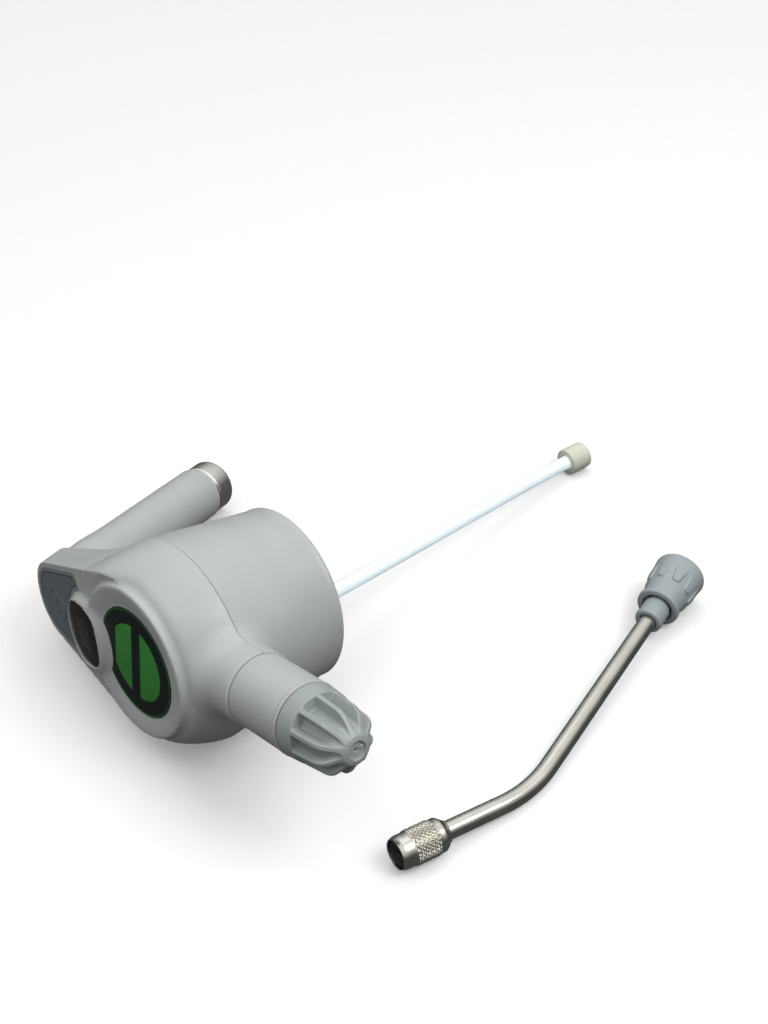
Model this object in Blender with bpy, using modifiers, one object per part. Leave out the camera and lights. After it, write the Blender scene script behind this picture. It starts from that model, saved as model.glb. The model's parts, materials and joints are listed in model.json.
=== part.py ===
"""Cordless electric sprayer head with its suction tube, and the bent spray lance of the same kit.

The head is modelled in its own upright frame (+X the nozzle, +Z out of the panel, the origin on the
axis of the round body at the panel) and hangs from one empty that lays it on its side on the floor.
The lance is modelled along its own two straight runs, in the floor's frame.
Sizes are in millimetres, and meshes are made in metres.
"""

import math

import bmesh
import bpy
import numpy as np
from mathutils import Matrix, Vector

MM = 0.001

# ---------------------------------------------------------------- driving dimensions
WALL = 2.5                       # moulded housing wall
GAP = 0.3                        # clearance between fitted pieces

SEAM_Z = -29.2                   # joint plane of top cover and lower housing
BODY_RADIUS = 53.5               # round body at the seam
MOUTH_RADIUS = 46.0              # skirt at its rim
MOUTH_Z = -94.0
MOUTH_LIP = 0.6                  # the skirt flares a little before its rim
MOUTH_LIP_Z = MOUTH_Z + 1.2
BULKHEAD_Z = -62.0               # underside of the floor above the bottle socket
BULKHEAD_THICKNESS = 2.5

PANEL_CIRCLES = ((0.0, 39.2), (-38.0, 32.3), (-84.0, 20.8))  # the panel's outline wraps these (x, radius)
PANEL_FALL_X = -26.0             # behind this line the panel slopes down to the rear
PANEL_SLOPE = math.radians(6.5)
EDGE_POWER = 1.45                # roundness of the side between panel and seam
ROOT_X = -102.0                  # handle root at the seam plane
ROOT_RADIUS = 20.5
RING_RADIUS = 34.8               # raised ring around the label
RING_HALF_WIDTH = 3.3
RING_HEIGHT = 1.4

LABEL_X = 1.7
LABEL_RADIUS = 29.75
BEZEL_X = -45.5
BEZEL_HALF_X = 18.8
BEZEL_HALF_Y = 20.4
BEZEL_HEIGHT = 4.2
WINDOW_HALF_X = 16.0
BUTTON_X = -83.0
BUTTON_HALF_X = 9.2              # the button is oval
BUTTON_HALF_Y = 8.0
BUTTON_TRAVEL = 0.8
OVERLAY_FRONT_X = -54.0
OVERLAY_INSET = 1.6

NOZZLE_Z = -27.9                 # spray axis, where it crosses the body's axis
NOZZLE_TILT = math.radians(2.5)
NOZZLE_RADIUS = 18.2
NOZZLE_BASE_X = 69.0
NOZZLE_CAP_X = 107.0
NOZZLE_TIP_X = 141.0
CAP_RING_LENGTH = 9.6            # plain band of the cap before its ribs
CAP_DRAFT = 0.078                # the cap narrows by this much of its length
CAP_RIBS = 10

HANDLE_END = (-143.8, 0.0, -138.6)
HANDLE_TILT = math.radians(20.6)
HANDLE_RADIUS = 15.0
HANDLE_SWELL = 4.5               # extra radius where the handle meets the cover
END_CAP_RADIUS = 14.6
END_CAP_LENGTH = 14.8
CELL_RADIUS = 10.5
CELL_LENGTH = 70.0
CELL_DEPTH = 16.5                # from the handle's end to the near end of the cell

PUMP_X = 22.0                    # middle of the gear chamber
PUMP_Z = -44.5
GEAR_SPACING = 12.0
GEAR_TEETH = 8
MOTOR_RADIUS = 11.5
MOTOR_LENGTH = 32.0
INLET_X = 22.0

TUBE_RADIUS = 4.0
TUBE_WALL = 1.0
TUBE_START = (INLET_X, 0.0, -66.0)
TUBE_START_PULL = (INLET_X, 0.0, -114.0)
TUBE_END_PULL = (-21.0, -14.6, -279.0)
TUBE_END = (-16.5, -10.0, -330.0)
WEIGHT_RADIUS = 8.0
WEIGHT_LENGTH = 14.0

LANCE_NUT = (148.3, 31.8, 10.2)  # mouth of the nut, on the floor's frame
LANCE_CORNER = (161.2, 108.4, 4.0)
LANCE_TIP = (114.6, 275.5, 14.25)  # wide end of the lance nozzle
LANCE_BEND_RADIUS = 75.0
LANCE_TUBE_RADIUS = 4.6
NUT_RADIUS = 8.6
NUT_LENGTH = 28.0
BELL_RADIUS = 14.2
BELL_LENGTH = 30.5

ORIGIN_X = 2.6                   # middle of the whole kit's footprint, seen from the body's axis
ORIGIN_Y = 164.4

BIG = 400.0                      # half size of the cutters that halve a piece

PALETTE = {
    "grey_plastic": ((0.475, 0.50, 0.485), 0.42, 0.0),
    "cap_plastic": ((0.30, 0.34, 0.34), 0.30, 0.0),
    "slate_film": ((0.09, 0.107, 0.127), 0.45, 0.0),
    "black_gloss": ((0.01, 0.01, 0.012), 0.08, 0.0),
    "black_rubber": ((0.015, 0.015, 0.015), 0.65, 0.0),
    "label_green": ((0.02, 0.13, 0.02), 0.4, 0.0),
    "nickel": ((0.62, 0.60, 0.56), 0.2, 1.0),
    "steel": ((0.55, 0.55, 0.56), 0.35, 1.0),
    "brass": ((0.60, 0.42, 0.16), 0.3, 1.0),
    "board_green": ((0.01, 0.12, 0.05), 0.5, 0.0),
    "clear_tube": ((0.72, 0.86, 0.95), 0.3, 0.0),
    "ceramic": ((0.84, 0.83, 0.76), 0.6, 0.0),
    "pump_resin": ((0.05, 0.05, 0.055), 0.5, 0.0),
    "gear_resin": ((0.80, 0.78, 0.70), 0.45, 0.0),
    "cell_wrap": ((0.02, 0.12, 0.30), 0.4, 0.0),
    "red_wire": ((0.5, 0.02, 0.02), 0.5, 0.0),
}


# ---------------------------------------------------------------- scene helpers
def clear_scene():
    for obj in list(bpy.data.objects):
        bpy.data.objects.remove(obj, do_unlink=True)


def new_collection(name):
    group = bpy.data.collections.new(name)
    bpy.context.scene.collection.children.link(group)
    return group


clear_scene()
PARTS = new_collection("electric_sprayer")
CUTTERS = new_collection("cutters")


def axis_frame(origin, direction):
    """Frame with its +Z along a direction."""
    turn = Vector(direction).to_track_quat("Z", "Y").to_matrix().to_4x4()
    return Matrix.Translation(Vector(origin)) @ turn


def in_metres(frame):
    scaled = frame.copy()
    scaled.translation = frame.translation * MM
    return scaled


def paint(obj, kind):
    colour, roughness, metallic = PALETTE[kind]
    material = bpy.data.materials.new(obj.name + "_" + kind)
    material.use_nodes = True
    shader = material.node_tree.nodes["Principled BSDF"]
    shader.inputs["Base Color"].default_value = (*colour, 1.0)
    shader.inputs["Roughness"].default_value = roughness
    shader.inputs["Metallic"].default_value = metallic
    obj.data.materials.append(material)


def place(obj, frame, parent):
    obj.parent = parent
    obj.matrix_basis = in_metres(frame)


def part(name, data, kind, frame=None, parent=None):
    """A named sub-part, with its own material."""
    obj = bpy.data.objects.new(name, data)
    PARTS.objects.link(obj)
    place(obj, frame or Matrix(), parent or HEAD)
    paint(obj, kind)
    return obj


def tool(name, data, frame=None, parent=None):
    """A solid that only cuts or joins others."""
    obj = bpy.data.objects.new(name, data)
    CUTTERS.objects.link(obj)
    place(obj, frame or Matrix(), parent or HEAD)
    obj.hide_render = True
    obj.display_type = "WIRE"
    return obj


def boolean(obj, operation, *tools):
    for other in tools:
        step = obj.modifiers.new(other.name, "BOOLEAN")
        step.operation = operation
        step.object = other


def cut(obj, *tools):
    boolean(obj, "DIFFERENCE", *tools)


def join(obj, *tools):
    boolean(obj, "UNION", *tools)


# ---------------------------------------------------------------- mesh makers
def to_mesh(name, bm):
    bmesh.ops.recalc_face_normals(bm, faces=bm.faces)
    bmesh.ops.scale(bm, vec=(MM, MM, MM), verts=bm.verts)
    mesh = bpy.data.meshes.new(name)
    bm.to_mesh(mesh)
    bm.free()
    return mesh


def smooth(mesh, limit=35.0):
    mesh.shade_smooth()
    mesh.set_sharp_from_angle(angle=math.radians(limit))
    return mesh


def cylinder(name, radius, low, high, sides=32):
    bm = bmesh.new()
    move = Matrix.Translation((0, 0, (low + high) / 2))
    bmesh.ops.create_cone(bm, cap_ends=True, segments=sides, radius1=radius, radius2=radius,
                          depth=high - low, matrix=move)
    return smooth(to_mesh(name, bm))


def block(name, low, high):
    bm = bmesh.new()
    size = [b - a for a, b in zip(low, high)]
    middle = [(a + b) / 2 for a, b in zip(low, high)]
    bmesh.ops.create_cube(bm, size=1.0)
    bmesh.ops.scale(bm, vec=size, verts=bm.verts)
    bmesh.ops.translate(bm, vec=middle, verts=bm.verts)
    return to_mesh(name, bm)


def prism(name, outline, low, high):
    """A flat outline in XY, made into a plate from low to high."""
    bm = bmesh.new()
    face = bm.faces.new([bm.verts.new((x, y, low)) for x, y in outline])
    top = bmesh.ops.extrude_face_region(bm, geom=[face])["geom"]
    rising = [v for v in top if isinstance(v, bmesh.types.BMVert)]
    bmesh.ops.translate(bm, vec=(0, 0, high - low), verts=rising)
    return smooth(to_mesh(name, bm))


def loft(name, rings):
    """A closed skin through rings of equally many points, with a flat cap at each end."""
    bm = bmesh.new()
    rows = [[bm.verts.new(point) for point in ring] for ring in rings]
    count = len(rows[0])
    for upper, lower in zip(rows, rows[1:]):
        for i in range(count):
            j = (i + 1) % count
            bm.faces.new((upper[i], upper[j], lower[j], lower[i]))
    bent = list(bm.faces)
    bm.faces.new(rows[0])
    bm.faces.new(list(reversed(rows[-1])))
    bmesh.ops.triangulate(bm, faces=bent)
    return smooth(to_mesh(name, bm), 25.0)


def turn(obj, steps):
    spin = obj.modifiers.new("turn", "SCREW")
    spin.axis = "Z"
    spin.steps = steps
    spin.render_steps = steps
    spin.use_merge_vertices = True
    spin.merge_threshold = 1e-6


def profile_mesh(name, profile):
    """A (radius, z) profile, which runs down its outer side; it is closed unless it starts on the axis."""
    mesh = bpy.data.meshes.new(name)
    points = [(r * MM, 0.0, z * MM) for r, z in profile]
    edges = [(i, i + 1) for i in range(len(points) - 1)]
    if profile[0][0] > 0:
        edges.append((len(points) - 1, 0))
    mesh.from_pydata(points, edges, [])
    return mesh


def turned(name, profile, kind, frame=None, parent=None, steps=32):
    obj = part(name, profile_mesh(name, profile), kind, frame, parent)
    turn(obj, steps)
    return obj


def turned_tool(name, profile, frame=None, parent=None, steps=32):
    obj = tool(name, profile_mesh(name, profile), frame, parent)
    turn(obj, steps)
    return obj


def tube_curve(name, points, radius, wall, kind, parent=None, detail=2):
    """A tube along a line of points, open at both ends, or a solid wire where wall is zero."""
    curve = bpy.data.curves.new(name, "CURVE")
    curve.dimensions = "3D"
    curve.bevel_depth = radius * MM
    curve.bevel_resolution = detail
    curve.use_fill_caps = wall == 0
    line = curve.splines.new("POLY")
    line.points.add(len(points) - 1)
    for spot, point in zip(line.points, points):
        spot.co = (*(Vector(point) * MM), 1.0)
    obj = part(name, curve, kind, None, parent)
    if wall > 0:
        shell = obj.modifiers.new("wall", "SOLIDIFY")
        shell.thickness = wall * MM
        shell.offset = -1.0
        shell.use_even_offset = True
    else:
        weld = obj.modifiers.new("weld", "WELD")
        weld.merge_threshold = 1e-5
    return obj


def bezier(start, start_pull, end_pull, end, count):
    corners = [Vector(p) for p in (start, start_pull, end_pull, end)]
    points = []
    for i in range(count + 1):
        t = i / count
        weights = ((1 - t) ** 3, 3 * t * (1 - t) ** 2, 3 * t * t * (1 - t), t ** 3)
        points.append(sum((w * p for w, p in zip(weights, corners)), Vector()))
    return points


# ---------------------------------------------------------------- where the kit lies
def lowest_point(centre, axis, radius, up):
    """Lowest point of a rim, seen along the direction up."""
    axis = axis / np.linalg.norm(axis)
    rise = up - (up @ axis) * axis
    return centre - radius * rise / np.linalg.norm(rise)


def resting_up():
    """Upward direction, in the head's frame, when it lies on the body's side and the handle's end."""
    handle = np.array([-math.sin(HANDLE_TILT), 0.0, -math.cos(HANDLE_TILT)])
    end = np.array(HANDLE_END) + handle * END_CAP_LENGTH
    rims = (
        (np.array([0.0, 0.0, SEAM_Z]), np.array([0.0, 0.0, 1.0]), BODY_RADIUS),
        (np.array([0.0, 0.0, MOUTH_LIP_Z]), np.array([0.0, 0.0, 1.0]), MOUTH_RADIUS + MOUTH_LIP),
        (end, handle, END_CAP_RADIUS),
    )
    up = np.array([0.0, 1.0, 0.0])
    for _ in range(60):
        a, b, c = (lowest_point(centre, axis, radius, up) for centre, axis, radius in rims)
        normal = np.cross(b - a, c - a)
        normal *= math.copysign(1.0, normal[1]) / np.linalg.norm(normal)
        up = (up + normal) / np.linalg.norm(up + normal)
    return up, a @ up


def floor_matrix():
    """The head's frame in the floor's frame, in millimetres."""
    up, floor = resting_up()
    forward = np.array([1.0, 0.0, 0.0]) - up[0] * up
    forward /= np.linalg.norm(forward)
    across = np.cross(up, forward)
    matrix = Matrix([(*row, 0.0) for row in (forward, across, up)] + [(0.0, 0.0, 0.0, 1.0)])
    return Matrix.Translation((-ORIGIN_X, -ORIGIN_Y, -floor)) @ matrix


def new_empty(name, frame):
    empty = bpy.data.objects.new(name, None)
    PARTS.objects.link(empty)
    empty.matrix_basis = in_metres(frame)
    return empty


HEAD = new_empty("head_frame", floor_matrix())
LANCE = new_empty("lance_frame", Matrix.Translation((-ORIGIN_X, -ORIGIN_Y, 0)))

HANDLE_AXIS = Vector((-math.sin(HANDLE_TILT), 0.0, -math.cos(HANDLE_TILT)))
HANDLE = axis_frame(HANDLE_END, HANDLE_AXIS)
NOZZLE = axis_frame((0, 0, NOZZLE_Z), (math.cos(NOZZLE_TILT), 0, math.sin(NOZZLE_TILT)))


# ---------------------------------------------------------------- the outer form
def wrap_radius(angle, circles):
    """Distance from the origin to the tight outline around circles that lie along X."""
    nearest = math.inf
    for i in range(-89, 90):
        lean = angle + math.radians(i)
        reach = max(x * math.cos(lean) + radius for x, radius in circles)
        nearest = min(nearest, reach / math.cos(lean - angle))
    return nearest


def soft_max(a, b, blend):
    """The larger of two lengths, rounded where they are closer than the blend."""
    mix = max(blend - abs(a - b), 0.0) / blend
    return max(a, b) + mix * mix * blend / 4


def panel_z(x):
    return min(0.0, (x - PANEL_FALL_X) * math.tan(PANEL_SLOPE))


def cover_point(angle, fall, inset=0.0):
    """Point of the cover's skin: fall runs from 0 at the panel's edge to 1 at the seam."""
    top = wrap_radius(angle, PANEL_CIRCLES)
    root = wrap_radius(angle, ((0.0, PANEL_CIRCLES[0][1]), (ROOT_X, ROOT_RADIUS)))
    seam = soft_max(BODY_RADIUS, root, 12.0)
    bulge = (1 - (1 - fall) ** EDGE_POWER) ** (1 / EDGE_POWER)
    radius = top + (seam - top) * bulge
    x = radius * math.cos(angle)
    y = radius * math.sin(angle)
    upper = panel_z(top * math.cos(angle))
    z = upper + (SEAM_Z - upper) * fall
    length = math.hypot(x, y)
    shrink = (length - inset) / length
    return Vector((x * shrink, y * shrink, z))


def cover_solid(name, inset, floor, count):
    """The cover's form down to the seam, shrunk by an inset and closed by a flat floor."""
    angles = [2 * math.pi * i / count for i in range(count)]
    edge = [cover_point(a, 0.0, inset) for a in angles]
    rings = []
    for share in (0.04, 0.5, 0.75, 1.0):
        ring = [Vector((p.x * share, p.y * share, 0.0)) for p in edge]
        rings.append([Vector((p.x, p.y, panel_z(p.x) - inset)) for p in ring])
    for fall in (0.04, 0.15, 0.35, 0.65, 1.0):
        ring = [cover_point(a, fall, inset) for a in angles]
        rings.append([Vector((p.x, p.y, max(p.z - inset, floor) if fall < 1 else floor)) for p in ring])
    return loft(name, rings)


def panel_frame(x, height=0.0):
    """Frame on the sloping panel, with its +Z out of the panel."""
    tilt = Matrix.Rotation(-PANEL_SLOPE, 4, "Y")
    return Matrix.Translation((x, 0, panel_z(x))) @ tilt @ Matrix.Translation((0, 0, height))


def oval(half_x, half_y):
    return Matrix.Diagonal((1.0, half_y / half_x, 1.0, 1.0))


def screw_places():
    return [(sx * 20.0, sy * 25.0) for sx in (-1, 1) for sy in (-1, 1)]


BEZEL = panel_frame(BEZEL_X)
BEZEL_OVAL = BEZEL @ oval(BEZEL_HALF_X, BEZEL_HALF_Y)
BUTTON = panel_frame(BUTTON_X)
BOSS_RADIUS = NOZZLE_RADIUS + 0.4
SCREW_BOSS_RADIUS = 3.6


def shared_tools():
    """Cutters that several shells share."""
    bore = tool("nozzle_bore", cylinder("nozzle_bore", 14.3, 44.0, 75.0), NOZZLE)
    below = tool("below_seam", block("below_seam", (-BIG, -BIG, -BIG), (BIG, BIG, SEAM_Z + GAP / 2)))
    above = tool("above_seam", block("above_seam", (-BIG, -BIG, SEAM_Z - GAP / 2), (BIG, BIG, BIG)))
    boss = [(BOSS_RADIUS, NOZZLE_BASE_X), (BOSS_RADIUS, 64.0), (20.2, 57.0), (22.4, 50.0), (24.3, 40.0)]
    outer = turned_tool("nozzle_boss", [(0, NOZZLE_BASE_X)] + boss + [(0, 40.0)], NOZZLE, steps=40)
    return bore, below, above, outer


# ---------------------------------------------------------------- housing
def make_top_cover(bore, below, boss):
    cover = part("top_cover", cover_solid("top_cover", 0.0, SEAM_Z, 60), "grey_plastic")
    r, w, h = RING_RADIUS, RING_HALF_WIDTH, RING_HEIGHT
    ridge = [(r - w, -1.7), (r - w, h * 0.2), (r - w * 0.3, h), (r + w * 0.4, h), (r + w, h * 0.3),
             (r + w, -1.7)]
    join(cover, turned_tool("label_ring", ridge, steps=48), boss)
    cavity = tool("cover_cavity", cover_solid("cover_cavity", WALL, SEAM_Z + WALL, 40))
    floor = tool("cover_mouth", cylinder("cover_mouth", BODY_RADIUS - WALL - 0.4, SEAM_Z - 5, SEAM_Z + 5, 44))
    seat = tool("label_seat", cylinder("label_seat", LABEL_RADIUS + GAP, -1.1, 9.0, 48),
                Matrix.Translation((LABEL_X, 0, 0)))
    cut(cover, cavity, floor)
    for i, (x, y) in enumerate(screw_places()):
        post = cylinder("cover_post", SCREW_BOSS_RADIUS, SEAM_Z, -1.5, 10)
        join(cover, tool(f"cover_post_{i}", post, Matrix.Translation((x, y, 0))))
    hole_x = BEZEL_HALF_X + GAP
    hole_y = BEZEL_HALF_Y + GAP
    opening = tool("bezel_opening", cylinder("bezel_opening", hole_x, -11.0, 13.0, 36),
                   BEZEL @ oval(hole_x, hole_y))
    pocket = tool("overlay_pocket", overlay_plate("overlay_pocket", OVERLAY_INSET - GAP, -0.9, 4.0))
    hole = tool("button_hole", cylinder("button_hole", BUTTON_HALF_X + GAP, -9.0, 5.0, 28),
                BUTTON @ oval(BUTTON_HALF_X + GAP, BUTTON_HALF_Y + GAP))
    lead = tool("lead_hole", cylinder("lead_hole", 7.0, -150.0, -90.0, 20), HANDLE)
    cut(cover, bore, below, seat, opening, pocket, hole, lead)
    for i, (x, y) in enumerate(screw_places()):
        pilot = cylinder("cover_pilot", 1.9, SEAM_Z - 2, -8.0, 8)
        cut(cover, tool(f"cover_pilot_{i}", pilot, Matrix.Translation((x, y, 0))))
    return opening


def skirt_profile():
    """Half section of the skirt: outer side down, then the socket and the space above the bulkhead."""
    taper = (BODY_RADIUS - MOUTH_RADIUS) / (SEAM_Z - MOUTH_Z)
    top = SEAM_Z - GAP / 2
    inner_floor = BULKHEAD_Z + BULKHEAD_THICKNESS
    floor_radius = BODY_RADIUS - taper * (SEAM_Z - inner_floor) - WALL
    socket = MOUTH_RADIUS - 3.0
    thread = []
    for z in (-72.0, -80.0):
        thread += [(socket, z - 1.2), (socket - 1.2, z - 0.4), (socket - 1.2, z + 0.4), (socket, z + 1.2)]
    return [(0, inner_floor), (floor_radius, inner_floor), (BODY_RADIUS - WALL, top), (BODY_RADIUS, top),
            (MOUTH_RADIUS + MOUTH_LIP, MOUTH_LIP_Z), (MOUTH_RADIUS - 0.4, MOUTH_Z), (socket, MOUTH_Z),
            *sorted(thread, key=lambda p: p[1]), (socket, BULKHEAD_Z), (0, BULKHEAD_Z)]


def make_lower_housing(bore, above, boss):
    housing = turned("lower_housing", skirt_profile(), "grey_plastic", steps=56)
    lower_boss = turned_tool("lower_boss", [(0, NOZZLE_BASE_X), (BOSS_RADIUS, NOZZLE_BASE_X),
                                            (BOSS_RADIUS + 0.5, 46.0), (0, 46.0)], NOZZLE, steps=40)
    join(housing, lower_boss)
    inside = tool("housing_inside", cylinder("housing_inside", BODY_RADIUS - 5.5, -56.0, -20.0, 48))
    cut(housing, above, bore, inside)
    for i, (x, y) in enumerate(screw_places()):
        at = Matrix.Translation((x, y, 0))
        post = cylinder("housing_post", SCREW_BOSS_RADIUS, BULKHEAD_Z + 1, SEAM_Z - GAP / 2, 10)
        join(housing, tool(f"housing_post_{i}", post, at))
        hole = cylinder("screw_hole", 1.9, BULKHEAD_Z - 5, SEAM_Z + 5, 8)
        cut(housing, tool(f"screw_hole_{i}", hole, at))
    inlet = cylinder("inlet_hole", 4.3, BULKHEAD_Z - 5, BULKHEAD_Z + 5, 20)
    cut(housing, tool("inlet_hole", inlet, Matrix.Translation((INLET_X, 0, 0))))


def handle_radius(depth):
    """Outer radius at a depth from the handle's end."""
    share = min(max((depth - 45.0) / 80.0, 0.0), 1.0)
    return HANDLE_RADIUS + HANDLE_SWELL * share * share * (3 - 2 * share)


def make_handle():
    depths = (0.0, 1.2, 30.0, 60.0, 75.0, 90.0, 105.0, 120.0, 140.0)
    rings = []
    for depth in depths:
        radius = handle_radius(depth) - (0.8 if depth == 0 else 0.0)
        ring = [(radius * math.cos(2 * math.pi * i / 40), radius * math.sin(2 * math.pi * i / 40), -depth)
                for i in range(40)]
        rings.append(ring)
    handle = part("handle_shell", loft("handle_shell", rings), "grey_plastic", HANDLE)
    top = tool("above_handle", block("above_handle", (-BIG, -BIG, SEAM_Z - GAP / 2), (BIG, BIG, BIG)))
    cell = tool("cell_bore", cylinder("cell_bore", 12.5, -92.0, 5.0, 36), HANDLE)
    lead = tool("lead_bore", cylinder("lead_bore", 7.0, -150.0, -80.0, 20), HANDLE)
    cut(handle, top, cell, lead)


def make_gasket_and_screws():
    seat = BULKHEAD_Z - GAP
    turned("bottle_gasket", [(36.5, seat), (42.3, seat), (42.3, seat - 2.5), (36.5, seat - 2.5)],
           "black_rubber", steps=48)
    head = BULKHEAD_Z - 1.0
    profile = [(0, -12.0), (1.4, -13.0), (1.4, head + 0.7), (2.8, head + 0.7), (2.8, head - 1.2),
               (2.2, head - 1.8), (1.1, head - 1.8), (1.1, head - 0.6), (0, head - 0.6)]
    for i, (x, y) in enumerate(screw_places()):
        turned(f"housing_screw_{i + 1}", profile, "steel", Matrix.Translation((x, y, 0)), steps=12)


# ---------------------------------------------------------------- panel
def overlay_outline(inset):
    """Rear part of the panel's outline, drawn in by an inset, with cut front corners."""
    circles = [(x, radius - inset) for x, radius in PANEL_CIRCLES]
    front = OVERLAY_FRONT_X + OVERLAY_INSET - inset
    corner = 3.5

    def edge(angle):
        radius = wrap_radius(angle, circles)
        return radius * math.cos(angle), radius * math.sin(angle)

    start = math.pi / 2
    while edge(start)[0] > front - corner:
        start += 0.002
    arc = [edge(start + (2 * math.pi - 2 * start) * i / 20) for i in range(21)]
    side = arc[0][1] - corner
    return [(front, side), *arc, (front, -side)]


def overlay_plate(name, inset, low, high):
    mesh = prism(name, overlay_outline(inset), low, high)
    for vertex in mesh.vertices:
        vertex.co.z += panel_z(vertex.co.x / MM) * MM
    return mesh


def make_panel(opening):
    overlay = part("panel_overlay", overlay_plate("panel_overlay", OVERLAY_INSET, -0.6, 0.0),
                   "slate_film")
    hole = tool("overlay_button_hole", cylinder("overlay_button_hole", BUTTON_HALF_X + GAP, -5, 5, 28),
                BUTTON @ oval(BUTTON_HALF_X + GAP, BUTTON_HALF_Y + GAP))
    cut(overlay, opening, hole)
    label = part("label_disc", cylinder("label_disc", LABEL_RADIUS, -0.8, 0.0, 48), "label_green",
                 Matrix.Translation((LABEL_X, 0, 0)))
    cut(label, opening)
    a, b, top = BEZEL_HALF_X, WINDOW_HALF_X, BEZEL_HEIGHT
    lip = b - 1.2
    bezel = [(b, top), (a - 1.6, top), (a - 0.6, top - 0.6), (a, top - 2.0), (a, -5.5), (lip, -5.5),
             (lip, top - 3.2), (b, top - 3.2)]
    turned("display_bezel", bezel, "grey_plastic", BEZEL_OVAL, steps=32)
    lens = cylinder("display_lens", WINDOW_HALF_X - GAP, top - 2.9, top - 1.0, 40)
    part("display_lens", lens, "black_gloss", BEZEL_OVAL)
    part("display_module", block("display_module", (-8.0, -10.5, -2.0), (8.0, 10.5, top - 3.6)),
         "black_gloss", BEZEL)
    board = block("control_board", (-94.0, -11.0, -18.6), (-30.0, 11.0, -17.0))
    part("control_board", board, "board_green")
    stem = -7.0
    r = BUTTON_HALF_X
    button = [(0, 0.3), (r - 0.8, 0.3), (r, -0.5), (r, -3.4), (r + 1.2, -3.4), (r + 1.2, -4.4),
              (2.0, -4.4), (2.0, stem), (0, stem)]
    turned("power_button", button, "slate_film", BUTTON @ oval(BUTTON_HALF_X, BUTTON_HALF_Y), steps=28)
    switch = BUTTON @ Matrix.Translation((0, 0, stem - BUTTON_TRAVEL - GAP))
    part("tact_switch", block("tact_switch", (-3.0, -3.0, -1.8), (3.0, 3.0, 0.0)), "pump_resin", switch)


# ---------------------------------------------------------------- nozzle and spray cap
def make_nozzle():
    x = NOZZLE_BASE_X + GAP
    shoulder = NOZZLE_CAP_X - GAP
    sleeve = [(12.0, 111.5), (15.2, 111.5), (15.2, shoulder), (NOZZLE_RADIUS, shoulder),
              (NOZZLE_RADIUS, x), (14.0, x), (14.0, 50.0), (12.0, 50.0)]
    turned("nozzle_sleeve", sleeve, "grey_plastic", NOZZLE, steps=40)
    stem = [(1.0, 128.0), (2.2, 128.0), (4.5, 119.0), (7.0, 116.0), (7.0, 108.0), (11.6, 108.0),
            (11.6, 104.0), (5.0, 104.0), (5.0, 58.0), (11.6, 58.0), (11.6, 54.0), (3.5, 54.0), (3.0, 50.5),
            (1.6, 50.5), (1.6, 47.5), (1.0, 47.5)]
    turned("nozzle_stem", stem, "gear_resin", NOZZLE, steps=16)


def make_spray_cap():
    cap_x = NOZZLE_CAP_X
    tip = NOZZLE_TIP_X
    ring = cap_x + CAP_RING_LENGTH
    rim = NOZZLE_RADIUS - CAP_DRAFT * CAP_RING_LENGTH
    body = [(0.8, tip), (6.4, tip), (7.2, tip - 0.8), (9.0, tip - 4.0), (11.8, ring),
            (rim, ring), (NOZZLE_RADIUS, cap_x), (15.6, cap_x), (15.6, cap_x + 1.2),
            (16.6, cap_x + 1.2), (16.6, cap_x + 3.0), (15.6, cap_x + 3.0), (15.6, cap_x + 5.0),
            (11.8, cap_x + 5.0), (9.6, cap_x + 12.0), (5.4, tip - 6.0), (3.0, tip - 2.5), (0.8, tip - 2.5)]
    cap = turned("spray_cap", body, "cap_plastic", NOZZLE, steps=40)
    shoulder = tip - 6.0
    r = rim - 0.15
    rib = [(12.8, ring - 0.7), (r, ring - 0.7), (r - CAP_DRAFT * (shoulder - ring), shoulder),
           (15.2, tip - 4.2), (8.0, tip - 0.9), (6.4, tip - 1.0), (6.2, tip - 5.2), (9.4, shoulder - 4.0)]
    for i in range(CAP_RIBS):
        plate = prism("cap_rib", rib, -1.3, 1.3)
        upright = Matrix.Rotation(math.pi / 2, 4, "X")
        spin = Matrix.Rotation(2 * math.pi * i / CAP_RIBS, 4, "Z")
        join(cap, tool(f"cap_rib_{i}", plate, NOZZLE @ spin @ upright))
    seal = [(15.4, cap_x + 2.8), (16.3, cap_x + 2.8), (16.3, cap_x + 1.4), (15.4, cap_x + 1.4)]
    turned("cap_seal", seal, "black_rubber", NOZZLE, steps=40)


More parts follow.
